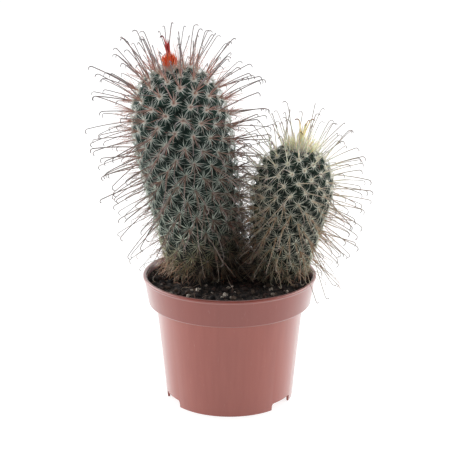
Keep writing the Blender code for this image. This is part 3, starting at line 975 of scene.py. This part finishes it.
spineForm = {
    "seed": 4,
    "sink": 2.4 * mm,
    "bareCrown": 4,  # areoles under the tuft, with no long spines
    "bow": 0.09,
    "lift": -0.65,  # how far a spine points up at the soil
    "liftGain": 0.95,  # how much more at the crown
    "liftSpread": 0.3,
    "liftMore": 0.12,  # with each try
    "spread": 0.35,
    "bendAside": 0.7,
    "shortLength": (9 * mm, 14 * mm),
    "tries": 9,
    "shorter": 0.87,  # with each try
    "crownReach": 0.16,  # how much longer they are round the crown
    "crownFrom": 0.75,  # shares of the height
    "crownOver": 0.25,
    "hookRadius": 1.7 * mm,
    "hookTurn": math.radians(150),
    "partingX": 11 * mm,  # the two stems' spines keep to their own side of this line
    "partingBend": 140 * mm,
    "partingSlope": 0.45,
    "clearance": 1.6 * mm,
    "tuftRoom": 5 * mm,
    "tuftFlare": 0.3,
    "tuftUnder": 4 * mm,
    "reach": 0.93,  # share of the solids' length that hooked ones have here, to match the photo
    "hookedRadius": 0.35 * mm,
    "straightRadius": 0.22 * mm,
    "extraRadius": 0.31 * mm,  # of the hooked spines that the solids leave out
    "seenRadius": 0.25 * mm,
    "extraRadii": (0.8, 1.1),
    "extraReach": 0.93,
    "extraSpreads": (0.2, 0.5),  # of the first and the second on one areole
    "extraLowest": 0.3,  # share of the height below which there are hardly any
    "extraSkipped": 0.7,  # share of the areoles there that have none
    "secondHook": 0.22,  # share of the areoles that have two hooked spines
    "crownAge": 0.12,  # round the tall stem's crown there are more, and shorter ones
    "crownShorter": 0.86,
    "lowRadius": 0.6,  # share of the radius that is left near the soil
    "thinFrom": 0.55,  # ages
    "thinOver": 0.3,
    # long ones seen to lie across the stems: from, to, in mm from the pot's axis: right, back, up
    "seen": [
        (short, (35.9, -18, 150.3), (19.6, -26, 137.6)),
        (short, (33.1, -20, 134.1), (8.7, -24, 102.8)),
        (short, (25.2, -18, 109.7), (13.1, -26, 93.2)),
        (short, (14.1, -10, 99.3), (12.8, -25, 92.5)),
        (short, (29.3, -15, 90.4), (30.6, -34, 80.0)),
        (short, (43.1, -12, 91.9), (44.1, -26, 80.5)),
        (short, (39.9, -15, 97.9), (41.0, -30, 81.1)),
        (short, (46, -10, 98), (56, -19, 69)),
        (short, (44, -14, 94), (50.5, -27, 69)),
        (short, (47, -4, 92), (61, -7, 73)),
        (tall, (-17.7, -15, 97.4), (-1.4, -20, 94.6)),
        (tall, (3.7, -15, 110.0), (19.6, -24, 92.7)),
    ],
    "shortAges": (0.06, 0.13, 0.45),  # where "shortOnes" hold
    "shortReach": (5 * mm, 17 * mm),
    "shortSpread": 0.7,
    "shortRadii": (0.5, 0.8),
    "facingTurn": 1.6,  # how soon an areole counts as facing the other stem
    "facingTop": 10 * mm,  # how far under the other stem's top it begins to count
    "facingFade": 28 * mm,
    "facingAge": 0.05,
    "facingAging": 0.3,
    "seenBend": 0.5,
    "skinRoom": 1.2 * mm,  # between a spine and the other stem's tubercles
}

hookedShares = (0, 0.06, 0.2, 0.38, 0.56, 0.74, 0.86, 0.91, 0.95, 0.98, 1)
straightShares = (0, 0.12, 0.45, 0.75, 1)
hookedStock = Stock("hookedStock", 4, hookedShares, 0.15)
straightStock = Stock("straightStock", 3, straightShares, 0.5)


def between(points):  # points about a millimetre apart
    found = [points[0]]
    for first, second in zip(points, points[1:]):
        steps = math.ceil((second - first).length / mm)
        found += [first.lerp(second, step / steps) for step in range(1, steps + 1)]
    return found


def isParted(stem, point):
    form = spineForm
    parting = potAxis.x + form["partingX"] + max(0.0, point.z - form["partingBend"]) * form["partingSlope"]
    return (point.x - parting) * stem.form["side"] >= form["clearance"]


# Spines of the solids keep to their own side; the others may mix, but enter neither stem
def isClear(stem, point, other=None):
    form = spineForm
    if other is None and not isParted(stem, point):
        return False
    if other is not None and not other.isOutside(point, form["skinRoom"]):
        return False
    reach = (point.xy - potAxis.xy).length
    overWall = reach > potInside(potHeight) - form["clearance"]
    ground = potHeight if overWall else soilTop + soilForm["clodHeight"]
    if reach < rimRadius + form["clearance"] and point.z < ground + form["clearance"]:
        return False
    above = stem.turnAt(stem.length) @ up
    offset = point - stem.axisAt(stem.length)
    rise = offset.dot(above)
    room = form["tuftRoom"] + max(0.0, rise) * form["tuftFlare"]
    return rise < -form["tuftUnder"] or (offset - above * rise).length > room


# The course of one spine, or nothing where it would not stay clear
def findCourse(stem, areole, hooked, rng, lengths, spread=spineForm["spread"], other=None):
    form = spineForm
    tip, outward, upward = stem.areoleFrame(areole)
    sideways = outward.cross(upward)
    share = areole[2] / stem.length
    reach = 1 + form["crownReach"] * smoothStep((share - form["crownFrom"]) / form["crownOver"])
    for attempt in range(form["tries"]):
        length = rng.uniform(*lengths) * form["shorter"] ** attempt * reach
        lift = form["lift"] + form["liftGain"] * share
        lift += rng.uniform(-form["liftSpread"], form["liftSpread"]) * spread / form["spread"]
        lift += form["liftMore"] * attempt
        sway = rng.uniform(-spread, spread)
        direction = (outward + upward * lift + sideways * sway).normalized()
        aside = rng.uniform(-form["bendAside"], form["bendAside"])
        bend = (-up + outward * share + sideways * aside).normalized()
        bend = (bend - direction * bend.dot(direction)).normalized()
        course = {"root": tip - outward * form["sink"], "tip": tip, "direction": direction, "bend": bend}
        course["length"] = length
        coarse = coursePoints(course, hooked, (0.5, 1.0), 2)[1:] if hooked else [tip + direction * length]
        if all(isClear(stem, point, other) for point in between([tip] + coarse)):
            return course
    return None


def coursePoints(course, hooked, shares, hookSteps):
    form = spineForm
    direction, bend, length = course["direction"], course["bend"], course["length"]
    points = [course["root"]]
    for share in shares:
        points.append(course["tip"] + (direction * share + bend * form["bow"] * share**2) * length)
    if hooked:
        heading = (direction + bend * 2 * form["bow"]).normalized()
        inward = (bend - heading * bend.dot(heading)).normalized()
        end = points[-1]
        for step in range(1, hookSteps + 1):
            angle = form["hookTurn"] * step / hookSteps
            swing = heading * math.sin(angle) + inward * (1 - math.cos(angle))
            points.append(end + swing * form["hookRadius"])
    return points


def ledHooked(course, age, radius):
    course["length"] *= spineForm["reach"]
    points = coursePoints(course, True, (0, 0.2, 0.4, 0.6, 0.8, 1.0), 4)
    return hookedStock.lead(points, radius, age)


def ledStraight(course, age, radius):
    return straightStock.lead(coursePoints(course, False, (0, 0.35, 0.7, 1.0), 0), radius, age)


def thinness(stem, areole):  # old spines near the soil are thinner
    form = spineForm
    old = smoothStep((stem.ageOf(areole) - form["thinFrom"]) / form["thinOver"])
    return stem.form["fineness"] * (1 - (1 - form["lowRadius"]) * old)


# The spines that the solid has too, each a little finer. Tells which areoles got a hooked one
def growSolidSpines(stem, hooked, straight):
    form = spineForm
    rng = random.Random(form["seed"])
    taken = set()
    for index, areole in enumerate(stem.areoles):
        if index < form["bareCrown"] or index % 3 == 2:
            continue
        isHooked = index % 3 == 0
        lengths = stem.form["spineLength"] if isHooked else form["shortLength"]
        course = findCourse(stem, areole, isHooked, rng, lengths)
        age = stem.ageOf(areole)
        if course and isHooked:
            taken.add(index)
            hooked.append(ledHooked(course, age, form["hookedRadius"] * thinness(stem, areole)))
        elif course:
            straight.append(ledStraight(course, age, form["straightRadius"]))
    return taken


def facingShare(stem, other, areole):  # 1 where an areole faces the other stem, beside it
    form = spineForm
    across = (other.axisAt(other.length / 2) - stem.axisAt(stem.length / 2)).normalized()
    tip, outward = stem.areoleFrame(areole)[:2]
    facing = smoothStep(outward.dot(across) * form["facingTurn"])
    facing *= smoothStep((other.top - tip.z - form["facingTop"]) / form["facingFade"])
    return facing * smoothStep((stem.ageOf(areole) - form["facingAge"]) / form["facingAging"])


# The rest of each areole's spines: first the hooked ones, then the short straight ones
def growOtherSpines(stem, other, taken, hooked, straight):
    form = spineForm
    rng = random.Random(form["seed"] + 1)
    for index, areole in enumerate(stem.areoles):
        age = stem.ageOf(areole)
        wanted = int(index not in taken) + int(rng.random() < form["secondHook"])
        lengths = [length * form["extraReach"] for length in stem.form["spineLength"]]
        if age < form["crownAge"] and stem is tall:
            wanted = min(2, wanted + 1)
            lengths = [length * form["crownShorter"] for length in lengths]
        isLow = age > 1 - form["extraLowest"]
        if index < form["bareCrown"] or (isLow and rng.random() < form["extraSkipped"]):
            wanted = 0
        for spread in form["extraSpreads"][:wanted]:
            course = findCourse(stem, areole, True, rng, lengths, spread, other)
            if course:
                radius = form["extraRadius"] * rng.uniform(*form["extraRadii"]) * thinness(stem, areole)
                hooked.append(ledHooked(course, age, radius))
        facing = facingShare(stem, other, areole)
        count = round(float(np.interp(age, form["shortAges"], stem.form["shortOnes"])))
        for turn in range(count + round(stem.form["inGap"] * facing)):
            course = findCourse(stem, areole, False, rng, form["shortReach"], form["shortSpread"], other)
            if course:
                radius = form["straightRadius"] * rng.uniform(*form["shortRadii"])
                straight.append(ledStraight(course, age, radius * max(facing, thinness(stem, areole))))


# The long ones that lie across the stems
def growSeenSpines(stem, hooked):
    form = spineForm
    for owner, start, end in form["seen"]:
        if owner is stem:
            start = potAxis + Vector(start) * mm
            areole = min(stem.areoles, key=lambda areole: (stem.areoleFrame(areole)[0] - start).length)
            tip, outward = stem.areoleFrame(areole)[:2]
            way = potAxis + Vector(end) * mm - tip
            course = {"root": tip - outward * form["sink"], "tip": tip, "direction": way.normalized()}
            course["bend"] = -outward.cross(way).cross(way).normalized() * form["seenBend"]
            course["length"] = way.length / form["reach"]
            hooked.append(ledHooked(course, stem.ageOf(areole), form["seenRadius"]))


def makeCentrals(stem, other):
    hooked = []
    straight = []
    taken = growSolidSpines(stem, hooked, straight)
    growOtherSpines(stem, other, taken, hooked, straight)
    growSeenSpines(stem, hooked)
    return joinAs(f"{stem.name}_hooked_spines", hooked), joinAs(f"{stem.name}_straight_spines", straight)


# Where shade is painted, low down between the stems
hollowShadeForm = {
    "middle": 6 * mm,  # right of the pot's axis
    "sides": (22 * mm, 9 * mm),  # from where it ends to where it is darkest
    "heights": (soilTop + 50 * mm, soilTop + 14 * mm),
}


# Mask of painted shade
def hollowShade(finish):  # 1 low down between the stems, where little light comes, and 0 away from it
    form = hollowShadeForm
    right, height = finish.split(finish.place(), 0, 2)
    right = right - potAxis.x - form["middle"]
    near = finish.between(right.work("ABSOLUTE", right), *form["sides"])
    return near * finish.between(height, *form["heights"])


def makeCentralFinish(name, young, old, oldest):
    finish = Finish(name, Roughness=0.45, Subsurface_Weight=0.15, Subsurface_Scale=0.6 * mm)
    age, along = finish.growth()
    patch = finish.noise(70.0, 2.0)
    fresh = finish.ramp(along, *young)
    worn = finish.ramp(along, *old)
    colour = finish.mix(finish.between(age + patch * 0.3, 0.22, 0.62), fresh, worn)
    colour = finish.mix(finish.between(age + patch * 0.2, 0.82, 0.98), colour, oldest)
    # Spines in the hollow are painted darker, as painted shade
    colour = finish.mix(hollowShade(finish) * 0.5, colour, paint(30, 20, 18))
    return finish.wear(colour=colour)


tallHooked = makeCentralFinish(
    "tallHookedSpines",
    [(0.0, (186, 170, 156)), (0.14, (160, 124, 110)), (0.4, (140, 122, 118)), (1.0, (114, 108, 110))],
    [(0.0, (134, 120, 106)), (0.2, (126, 106, 94)), (0.5, (134, 118, 108)), (1.0, (114, 106, 102))],
    paint(128, 112, 90),
)
tallStraight = makeCentralFinish(
    "tallStraightSpines",
    [(0.0, (204, 196, 184)), (0.3, (196, 164, 148)), (0.6, (200, 150, 138)), (1.0, (172, 140, 134))],
    [(0.0, (150, 136, 120)), (0.3, (142, 120, 106)), (0.7, (146, 124, 114)), (1.0, (126, 114, 108))],
    paint(136, 120, 94),
)
shortHooked = makeCentralFinish(
    "shortHookedSpines",
    [(0.0, (240, 238, 212)), (0.35, (214, 210, 190)), (0.7, (158, 150, 137)), (1.0, (106, 90, 82))],
    [(0.0, (164, 126, 92)), (0.35, (160, 138, 112)), (0.7, (148, 132, 112)), (1.0, (116, 106, 98))],
    paint(160, 144, 118),
)
shortStraight = makeCentralFinish(
    "shortStraightSpines",
    [(0.0, (244, 241, 216)), (0.4, (248, 246, 228)), (0.8, (236, 234, 218)), (1.0, (200, 192, 174))],
    [(0.0, (176, 140, 104)), (0.4, (190, 168, 136)), (0.8, (182, 168, 146)), (1.0, (150, 136, 122))],
    paint(180, 162, 132),
)
for stem, other, finishes in (
    (tall, short, (tallHooked, tallStraight)),
    (short, tall, (shortHooked, shortStraight)),
):
    for piece, finish in zip(makeCentrals(stem, other), finishes):
        finishPiece(piece, finish, f"{stem.name}_stem", f"{stem.name}_stem")


# Stars of fine radial spines, and the wool in their middle

starForm = {
    "models": 5,
    "length": (0.4, 0.7),  # as shares of the spacing
    "rise": (0.0, 0.42),
    "youngRise": (0.6, 1.25),  # round the growing point they stand up
    "youngSize": 1.3,
    "youngCount": 7,
    "youngModels": (10, 11),
    "sizes": (0.92, 1.08),
    "aging": 0.14,  # how much longer the old ones are
    "agingFrom": 0.15,
    "agingOver": 0.45,
    "droop": 0.05,
    "swerve": 0.2,  # how far a ray bends to one side
    "rootCircle": 0.09,
    "rootDepth": 0.02,
    "jitter": 0.5,  # of a ray's place round the ring
    "radii": (0.6, 1.35),
    "seed": 31,
}

# Rings of wool and the buds in them, as shares of the spacing
woolForm = {
    "models": 3,
    "ring": 0.1,
    "thickness": 0.052,
    "roughness": 0.02,
    "bud": [(-0.06, 0.09), (0, 0.08), (0.02, 0.04)],
    "size": 1.4,
    "shrinking": 0.85,
    "shrinkRate": 1.8,
    "sink": 0.01,
    "seed": 17,
}

radialShares = (0, 0.35, 0.7, 1)
radialStock = Stock("radialStock", 3, radialShares, 0.7)


def makeStar(stem, index, rise):
    form = starForm
    rng = random.Random(form["seed"] + index)
    found = []
    radials = stem.form["radials"]
    for turn in range(radials):
        angle = math.tau * (turn + rng.uniform(-form["jitter"], form["jitter"])) / radials
        outward = Vector((math.cos(angle), math.sin(angle), 0))
        slope = rng.uniform(*rise)
        length = rng.uniform(*form["length"])
        heading = outward * math.cos(slope) + up * math.sin(slope)
        root = outward * form["rootCircle"] - up * form["rootDepth"]
        swerve = outward.cross(up) * rng.uniform(-form["swerve"], form["swerve"]) - up * form["droop"]
        points = [root + (heading * share + swerve * share**2) * length for share in radialShares]
        radius = stem.form["radialRadius"] * rng.uniform(*form["radii"])
        found.append(radialStock.lead(points, radius, 0.0))
    return joinAs(f"star{index}", found)


def makeStars(stem):
    form = starForm
    rng = random.Random(form["seed"])
    models = [makeStar(stem, index, form["rise"]) for index in range(form["models"])]
    young = [makeStar(stem, index, form["youngRise"]) for index in form["youngModels"]]
    found = []
    for index, areole in enumerate(stem.areoles):
        isYoung = index < form["youngCount"]
        model = rng.choice(young if isYoung else models)
        spin = rng.uniform(0, math.tau)
        size = areole[3] * rng.uniform(*form["sizes"]) * (form["youngSize"] if isYoung else 1)
        age = stem.ageOf(areole)
        size *= 1 + form["aging"] * smoothStep((age - form["agingFrom"]) / form["agingOver"])
        found.append(copyAt(model, stem.stand(areole, size, 0.0, spin), age))
    throwAway(*models, *young)
    return joinAs(f"{stem.name}_radial_spines", found)


def makeWoolRing(index):
    deselectAll()
    form = woolForm
    bpy.ops.mesh.primitive_torus_add(
        major_segments=12, minor_segments=6, major_radius=form["ring"], minor_radius=form["thickness"]
    )
    ring = bpy.context.object
    bpy.ops.object.mode_set(mode="EDIT")
    bpy.ops.mesh.select_all(action="SELECT")
    bpy.ops.transform.vertex_random(offset=form["roughness"], seed=form["seed"] + index)
    bpy.ops.object.mode_set(mode="OBJECT")
    markGrowth(ring, -2 * form["thickness"], form["thickness"])
    bud = turnBody("bud", 8, form["bud"])
    markGrowth(bud, 0.0, 10.0)  # all of it near the root, where the wool is brown
    return joinAs(f"woolRing{index}", [ring, bud])


def makeWool(stem):
    form = woolForm
    rng = random.Random(form["seed"])
    models = [makeWoolRing(index) for index in range(form["models"])]
    found = []
    for index, areole in enumerate(stem.areoles):
        age = stem.ageOf(areole)
        size = areole[3] * (form["size"] - form["shrinking"] * smoothStep(age * form["shrinkRate"]))
        stand = stem.stand(areole, size, form["sink"] * areole[3], rng.uniform(0, 6))
        found.append(copyAt(rng.choice(models), stand, age))
    throwAway(*models)
    wool = joinAs(f"{stem.name}_wool", found)
    wool.data.shade_smooth()
    return wool


def makeRadialFinish(name, *colours):  # from the young ones to those in the soil
    finish = Finish(name, Roughness=0.4)
    age, along = finish.growth()
    patch = finish.noise(90.0, 3.0)
    stops = zip((0.05, 0.45, 0.72, 0.85, 0.95), colours)
    colour = finish.ramp(age + patch * 0.3 - 0.15, *stops)
    colour = finish.mix(finish.between(along, 0.35, 1.0) * 0.5, colour, paint(108, 110, 98))
    dull = finish.between(finish.noise(420.0, 2.0), 0.47, 0.6) * 0.4
    colour = finish.mix(dull, colour, paint(62, 68, 60))
    # Rays in the hollow are painted darker, as painted shade
    colour = finish.mix(hollowShade(finish) * 0.65, colour, paint(24, 20, 17))
    return finish.wear(colour=colour)


def makeWoolFinish(name, fresh, weathered):
    finish = Finish(name, Roughness=1.0, Sheen_Weight=0.3, Sheen_Roughness=0.6)
    age, along = finish.growth()
    fluff = finish.noise(2600.0, 3.0, 0.7)
    wool = finish.ramp(age + fluff * 0.25, (0.1, fresh), (0.9, weathered))
    colour = finish.mix(finish.between(along, 0.1, 0.3), paint(158, 112, 78), wool)
    return finish.wear(colour=colour, height=fluff, strength=0.8, distance=0.2 * mm)


tallRadial = makeRadialFinish(
    "tallRadials", (240, 246, 238), (214, 226, 214), (226, 236, 220), (192, 186, 142), (92, 76, 60)
)
shortRadial = makeRadialFinish(
    "shortRadials", (248, 248, 234), (240, 240, 220), (246, 246, 224), (224, 226, 196), (160, 154, 124)
)
tallWool = makeWoolFinish("tallWool", (212, 208, 198), (136, 132, 120))
shortWool = makeWoolFinish("shortWool", (228, 226, 210), (150, 144, 126))
for stem, radial, wool in ((tall, tallRadial, tallWool), (short, shortRadial, shortWool)):
    finishPiece(makeStars(stem), radial, f"{stem.name}_stem", f"{stem.name}_stem")
    finishPiece(makeWool(stem), wool, f"{stem.name}_stem", f"{stem.name}_stem")
print("stems and spines are made")


# Tufts of young spines at the growing points

tallTuft = {
    "count": 130,
    "height": (7.8 * mm, 9.2 * mm),
    "fall": 0.6,  # how much shorter the outermost are
    "pad": 3.2 * mm,
    "spread": 0.3,
    "seat": 2.9 * mm,  # from the crown's own height
    "radius": 0.36 * mm,
    "seed": 3,
    # the longest, in the middle: height in mm, lean right, lean back. The first of them are hooked
    "spikes": [
        (16.8, -0.01, -0.012), (16, 0.0, 0.01), (15.5, 0.015, -0.01), (15, 0.0, 0.02),
        (14, 0.03, 0.0), (12.5, -0.03, -0.01), (12, 0.06, 0.01),
    ],
    "hooks": 1,
    "spikeRadius": 0.75 * mm,
}

shortTuft = {
    "count": 165,
    "height": (7 * mm, 12 * mm),
    "fall": 0.3,
    "pad": 5.5 * mm,
    "spread": 0.95,
    "seat": -1.5 * mm,
    "radius": 0.28 * mm,
    "seed": 6,
    "spikes": [
        (18.5, 0.05, -0.1), (17, -0.08, 0.0), (18, 0.12, 0.05), (16, 0.02, -0.12),
        (16, 0.03, 0.03), (15, -0.02, -0.04), (14, 0.07, 0.0), (13, -0.04, -0.03),
    ],
    "hooks": 4,
    "spikeRadius": 0.6 * mm,
}

# What both tufts share
tuftRule = {
    "rootDepth": 3.5 * mm,
    "leaning": (0.7, 1.2),
    "tallest": 1.12,  # in the middle
    "bend": (-0.16, 0.04),
    "radii": (0.8, 1.1),
    "ages": 0.85,  # the small ones' ages end here, and the longest have age 1
    "hookFineness": 0.7,
}


def makeTuft(stem, form):
    rule = tuftRule
    rng = random.Random(form["seed"])
    turn = stem.turnAt(stem.length)
    seat = stem.axisAt(stem.length) + turn @ up * form["seat"]
    found = []
    for index in range(form["count"]):
        share = math.sqrt((index + 0.5) / form["count"])
        angle = index * goldenAngle
        outward = Vector((math.cos(angle), math.sin(angle), 0))
        direction = (up + outward * form["spread"] * share * rng.uniform(*rule["leaning"])).normalized()
        height = rng.uniform(*form["height"]) * (rule["tallest"] - form["fall"] * share)
        root = outward * form["pad"] * share - up * rule["rootDepth"]
        height += rule["rootDepth"]
        bend = outward * rng.uniform(*rule["bend"])
        points = [root + (direction * part + bend * part**2) * height for part in straightShares]
        points = [seat + turn @ point for point in points]
        radius = form["radius"] * rng.uniform(*rule["radii"])
        found.append(straightStock.lead(points, radius, rng.random() * rule["ages"]))
    for index, (height, right, back) in enumerate(form["spikes"]):
        direction = (turn @ up + Vector((right, back, 0))).normalized()
        bend = Vector((right, back, 0)).normalized()
        bend = (bend - direction * bend.dot(direction)).normalized()
        course = {"root": seat, "tip": seat + direction * mm, "direction": direction, "bend": bend}
        course["length"] = height * mm
        isHooked = index < form["hooks"]
        led = ledHooked if isHooked else ledStraight
        radius = form["spikeRadius"] * (rule["hookFineness"] if isHooked else 1)
        found.append(led(course, 1.0, radius))
    return joinAs(f"{stem.name}_young_spines", found)


def makeTuftFinish(name, root, hook, *tones):
    finish = Finish(name, Roughness=0.4, Subsurface_Weight=0.25, Subsurface_Scale=0.8 * mm)
    age, along = finish.growth()
    tone = finish.ramp(age, *zip((0.0, 0.5, 0.85, 0.95), tones))
    tone = finish.mix(finish.between(along, 0.3, 0.5), root, tone)
    hooked = finish.between(age, 0.9, 0.95) * finish.between(along, 0.8, 0.95)
    return finish.wear(colour=finish.mix(hooked, tone, hook))


redTones = ((250, 138, 60), (240, 92, 38), (222, 62, 32), (176, 36, 32))
redTuft = makeTuftFinish("redTuft", paint(226, 190, 176), paint(92, 24, 30), *redTones)
yellowTones = ((255, 254, 236), (254, 251, 214), (252, 244, 192), (250, 238, 178))
yellowTuft = makeTuftFinish("yellowTuft", paint(246, 246, 238), paint(140, 98, 66), *yellowTones)
finishPiece(makeTuft(tall, tallTuft), redTuft, "red_spines", "tall_crown_tuft")
finishPiece(makeTuft(short, shortTuft), yellowTuft, "yellow_spines", "short_crown_tuft")


# Old spines that hang round the feet of the stems, and bits of root and spine on the soil

deadForm = {
    "tall": 190,
    "short": 110,
    "gap": 190,  # between the two stems
    "gapHeights": (5 * mm, 38 * mm),
    "heights": (4 * mm, 18 * mm),
    "length": (6 * mm, 14 * mm),
    "radius": 0.15 * mm,
    "radii": (0.7, 1.3),
    "rootDepth": 1.5 * mm,
    "outwards": 0.7,
    "aside": 1.1,
    "down": (-0.3, 0.9),
    "sag": 0.28,
    "skinRoom": 0.5 * mm,  # from the other stem's tubercles
    "shadeMiddle": 5 * mm,  # right of the pot's axis
    "shadeFade": (17 * mm, 36 * mm),
    "seed": 9,
}

soilRoom = 0.35 * mm  # how far they lie over the soil
wallRoom = 1.2 * mm


def onSoil(point):  # lifts a point that would lie in the soil
    ground = soilHeight(point.x, point.y) + soilRoom
    return Vector((point.x, point.y, max(point.z, ground)))


def insidePot(point):
    return (point.xy - potAxis.xy).length < potInside(soilTop) - wallRoom


def makeDeadSpines(stem, other):
    form = deadForm
    rng = random.Random(form["seed"])
    across = other.axisAt(0) - stem.axisAt(0)
    found = []
    while len(found) < form[stem.name] + form["gap"]:
        inGap = len(found) >= form[stem.name]
        height = rng.uniform(*form["gapHeights" if inGap else "heights"])
        angle = rng.uniform(0, math.tau)
        if inGap:
            angle = math.atan2(across.y, across.x) + rng.uniform(-1, 1)
        radius = float(np.interp(height, stem.heights[::-1], stem.radii[::-1])) - form["rootDepth"]
        radial = Vector((math.cos(angle), math.sin(angle), 0))
        tangent = Vector((-math.sin(angle), math.cos(angle), 0))
        start = stem.place(radial * radius + up * height)
        direction = radial * form["outwards"] + tangent * rng.uniform(-form["aside"], form["aside"])
        direction -= up * rng.uniform(*form["down"])
        length = rng.uniform(*form["length"])
        points = []
        for share in straightShares:
            points.append(start + (direction.normalized() * share - up * form["sag"] * share**2) * length)
        points = [points[0]] + [onSoil(point) for point in points[1:]]
        if all(insidePot(point) and other.isOutside(point, form["skinRoom"]) for point in points):
            radius = form["radius"] * rng.uniform(*form["radii"])
            found.append(straightStock.lead(points, radius, rng.random()))
    return joinAs(f"{stem.name}_dead_spines", found)


fibreForm = {
    "count": 80,
    "length": (6 * mm, 20 * mm),
    "radius": 0.12 * mm,
    "radii": (0.8, 1.6),
    "wander": 0.6,
    "seed": 12,
}


def makeFibres():
    form = fibreForm
    rng = random.Random(form["seed"])
    found = []
    while len(found) < form["count"]:
        x, y = scatter(rng, potInside(soilTop))
        heading = rng.uniform(0, math.tau)
        length = rng.uniform(*form["length"])
        points = []
        for share in straightShares:
            angle = heading + share * rng.uniform(-form["wander"], form["wander"])
            step = Vector((math.cos(angle), math.sin(angle), 0)) * length * share
            points.append(onSoil(potAxis + Vector((x, y, 0)) + step))
        if all(insidePot(point) for point in points):
            radius = form["radius"] * rng.uniform(*form["radii"])
            found.append(straightStock.lead(points, radius, rng.random()))
    return joinAs("soil_fibres", found)


def makeDeadFinish():
    finish = Finish("deadSpines", Roughness=0.6)
    age = finish.growth()[0]
    right = finish.split(finish.place(), 0)[0] - potAxis.x
    # Dead spines near the middle, between the stems, are painted near black as painted shade; outside they
    # keep their tan colour
    outer = finish.between(right.work("ABSOLUTE", right - deadForm["shadeMiddle"]), *deadForm["shadeFade"])
    inGap = finish.ramp(age, (0.0, (16, 11, 10)), (0.6, (30, 20, 17)), (1.0, (104, 84, 70)))
    outside = finish.ramp(age, (0.0, (172, 124, 98)), (0.5, (222, 178, 146)), (1.0, (244, 222, 196)))
    return finish.wear(colour=finish.mix(outer, inGap, outside))


deadFinish = makeDeadFinish()
for stem, other in ((tall, short), (short, tall)):
    finishPiece(makeDeadSpines(stem, other), deadFinish, f"{stem.name}_stem")
finishPiece(makeFibres(), deadFinish, "soil")
throwAway(hookedStock.model, straightStock.model, radialStock.model)

print("all pieces are made")
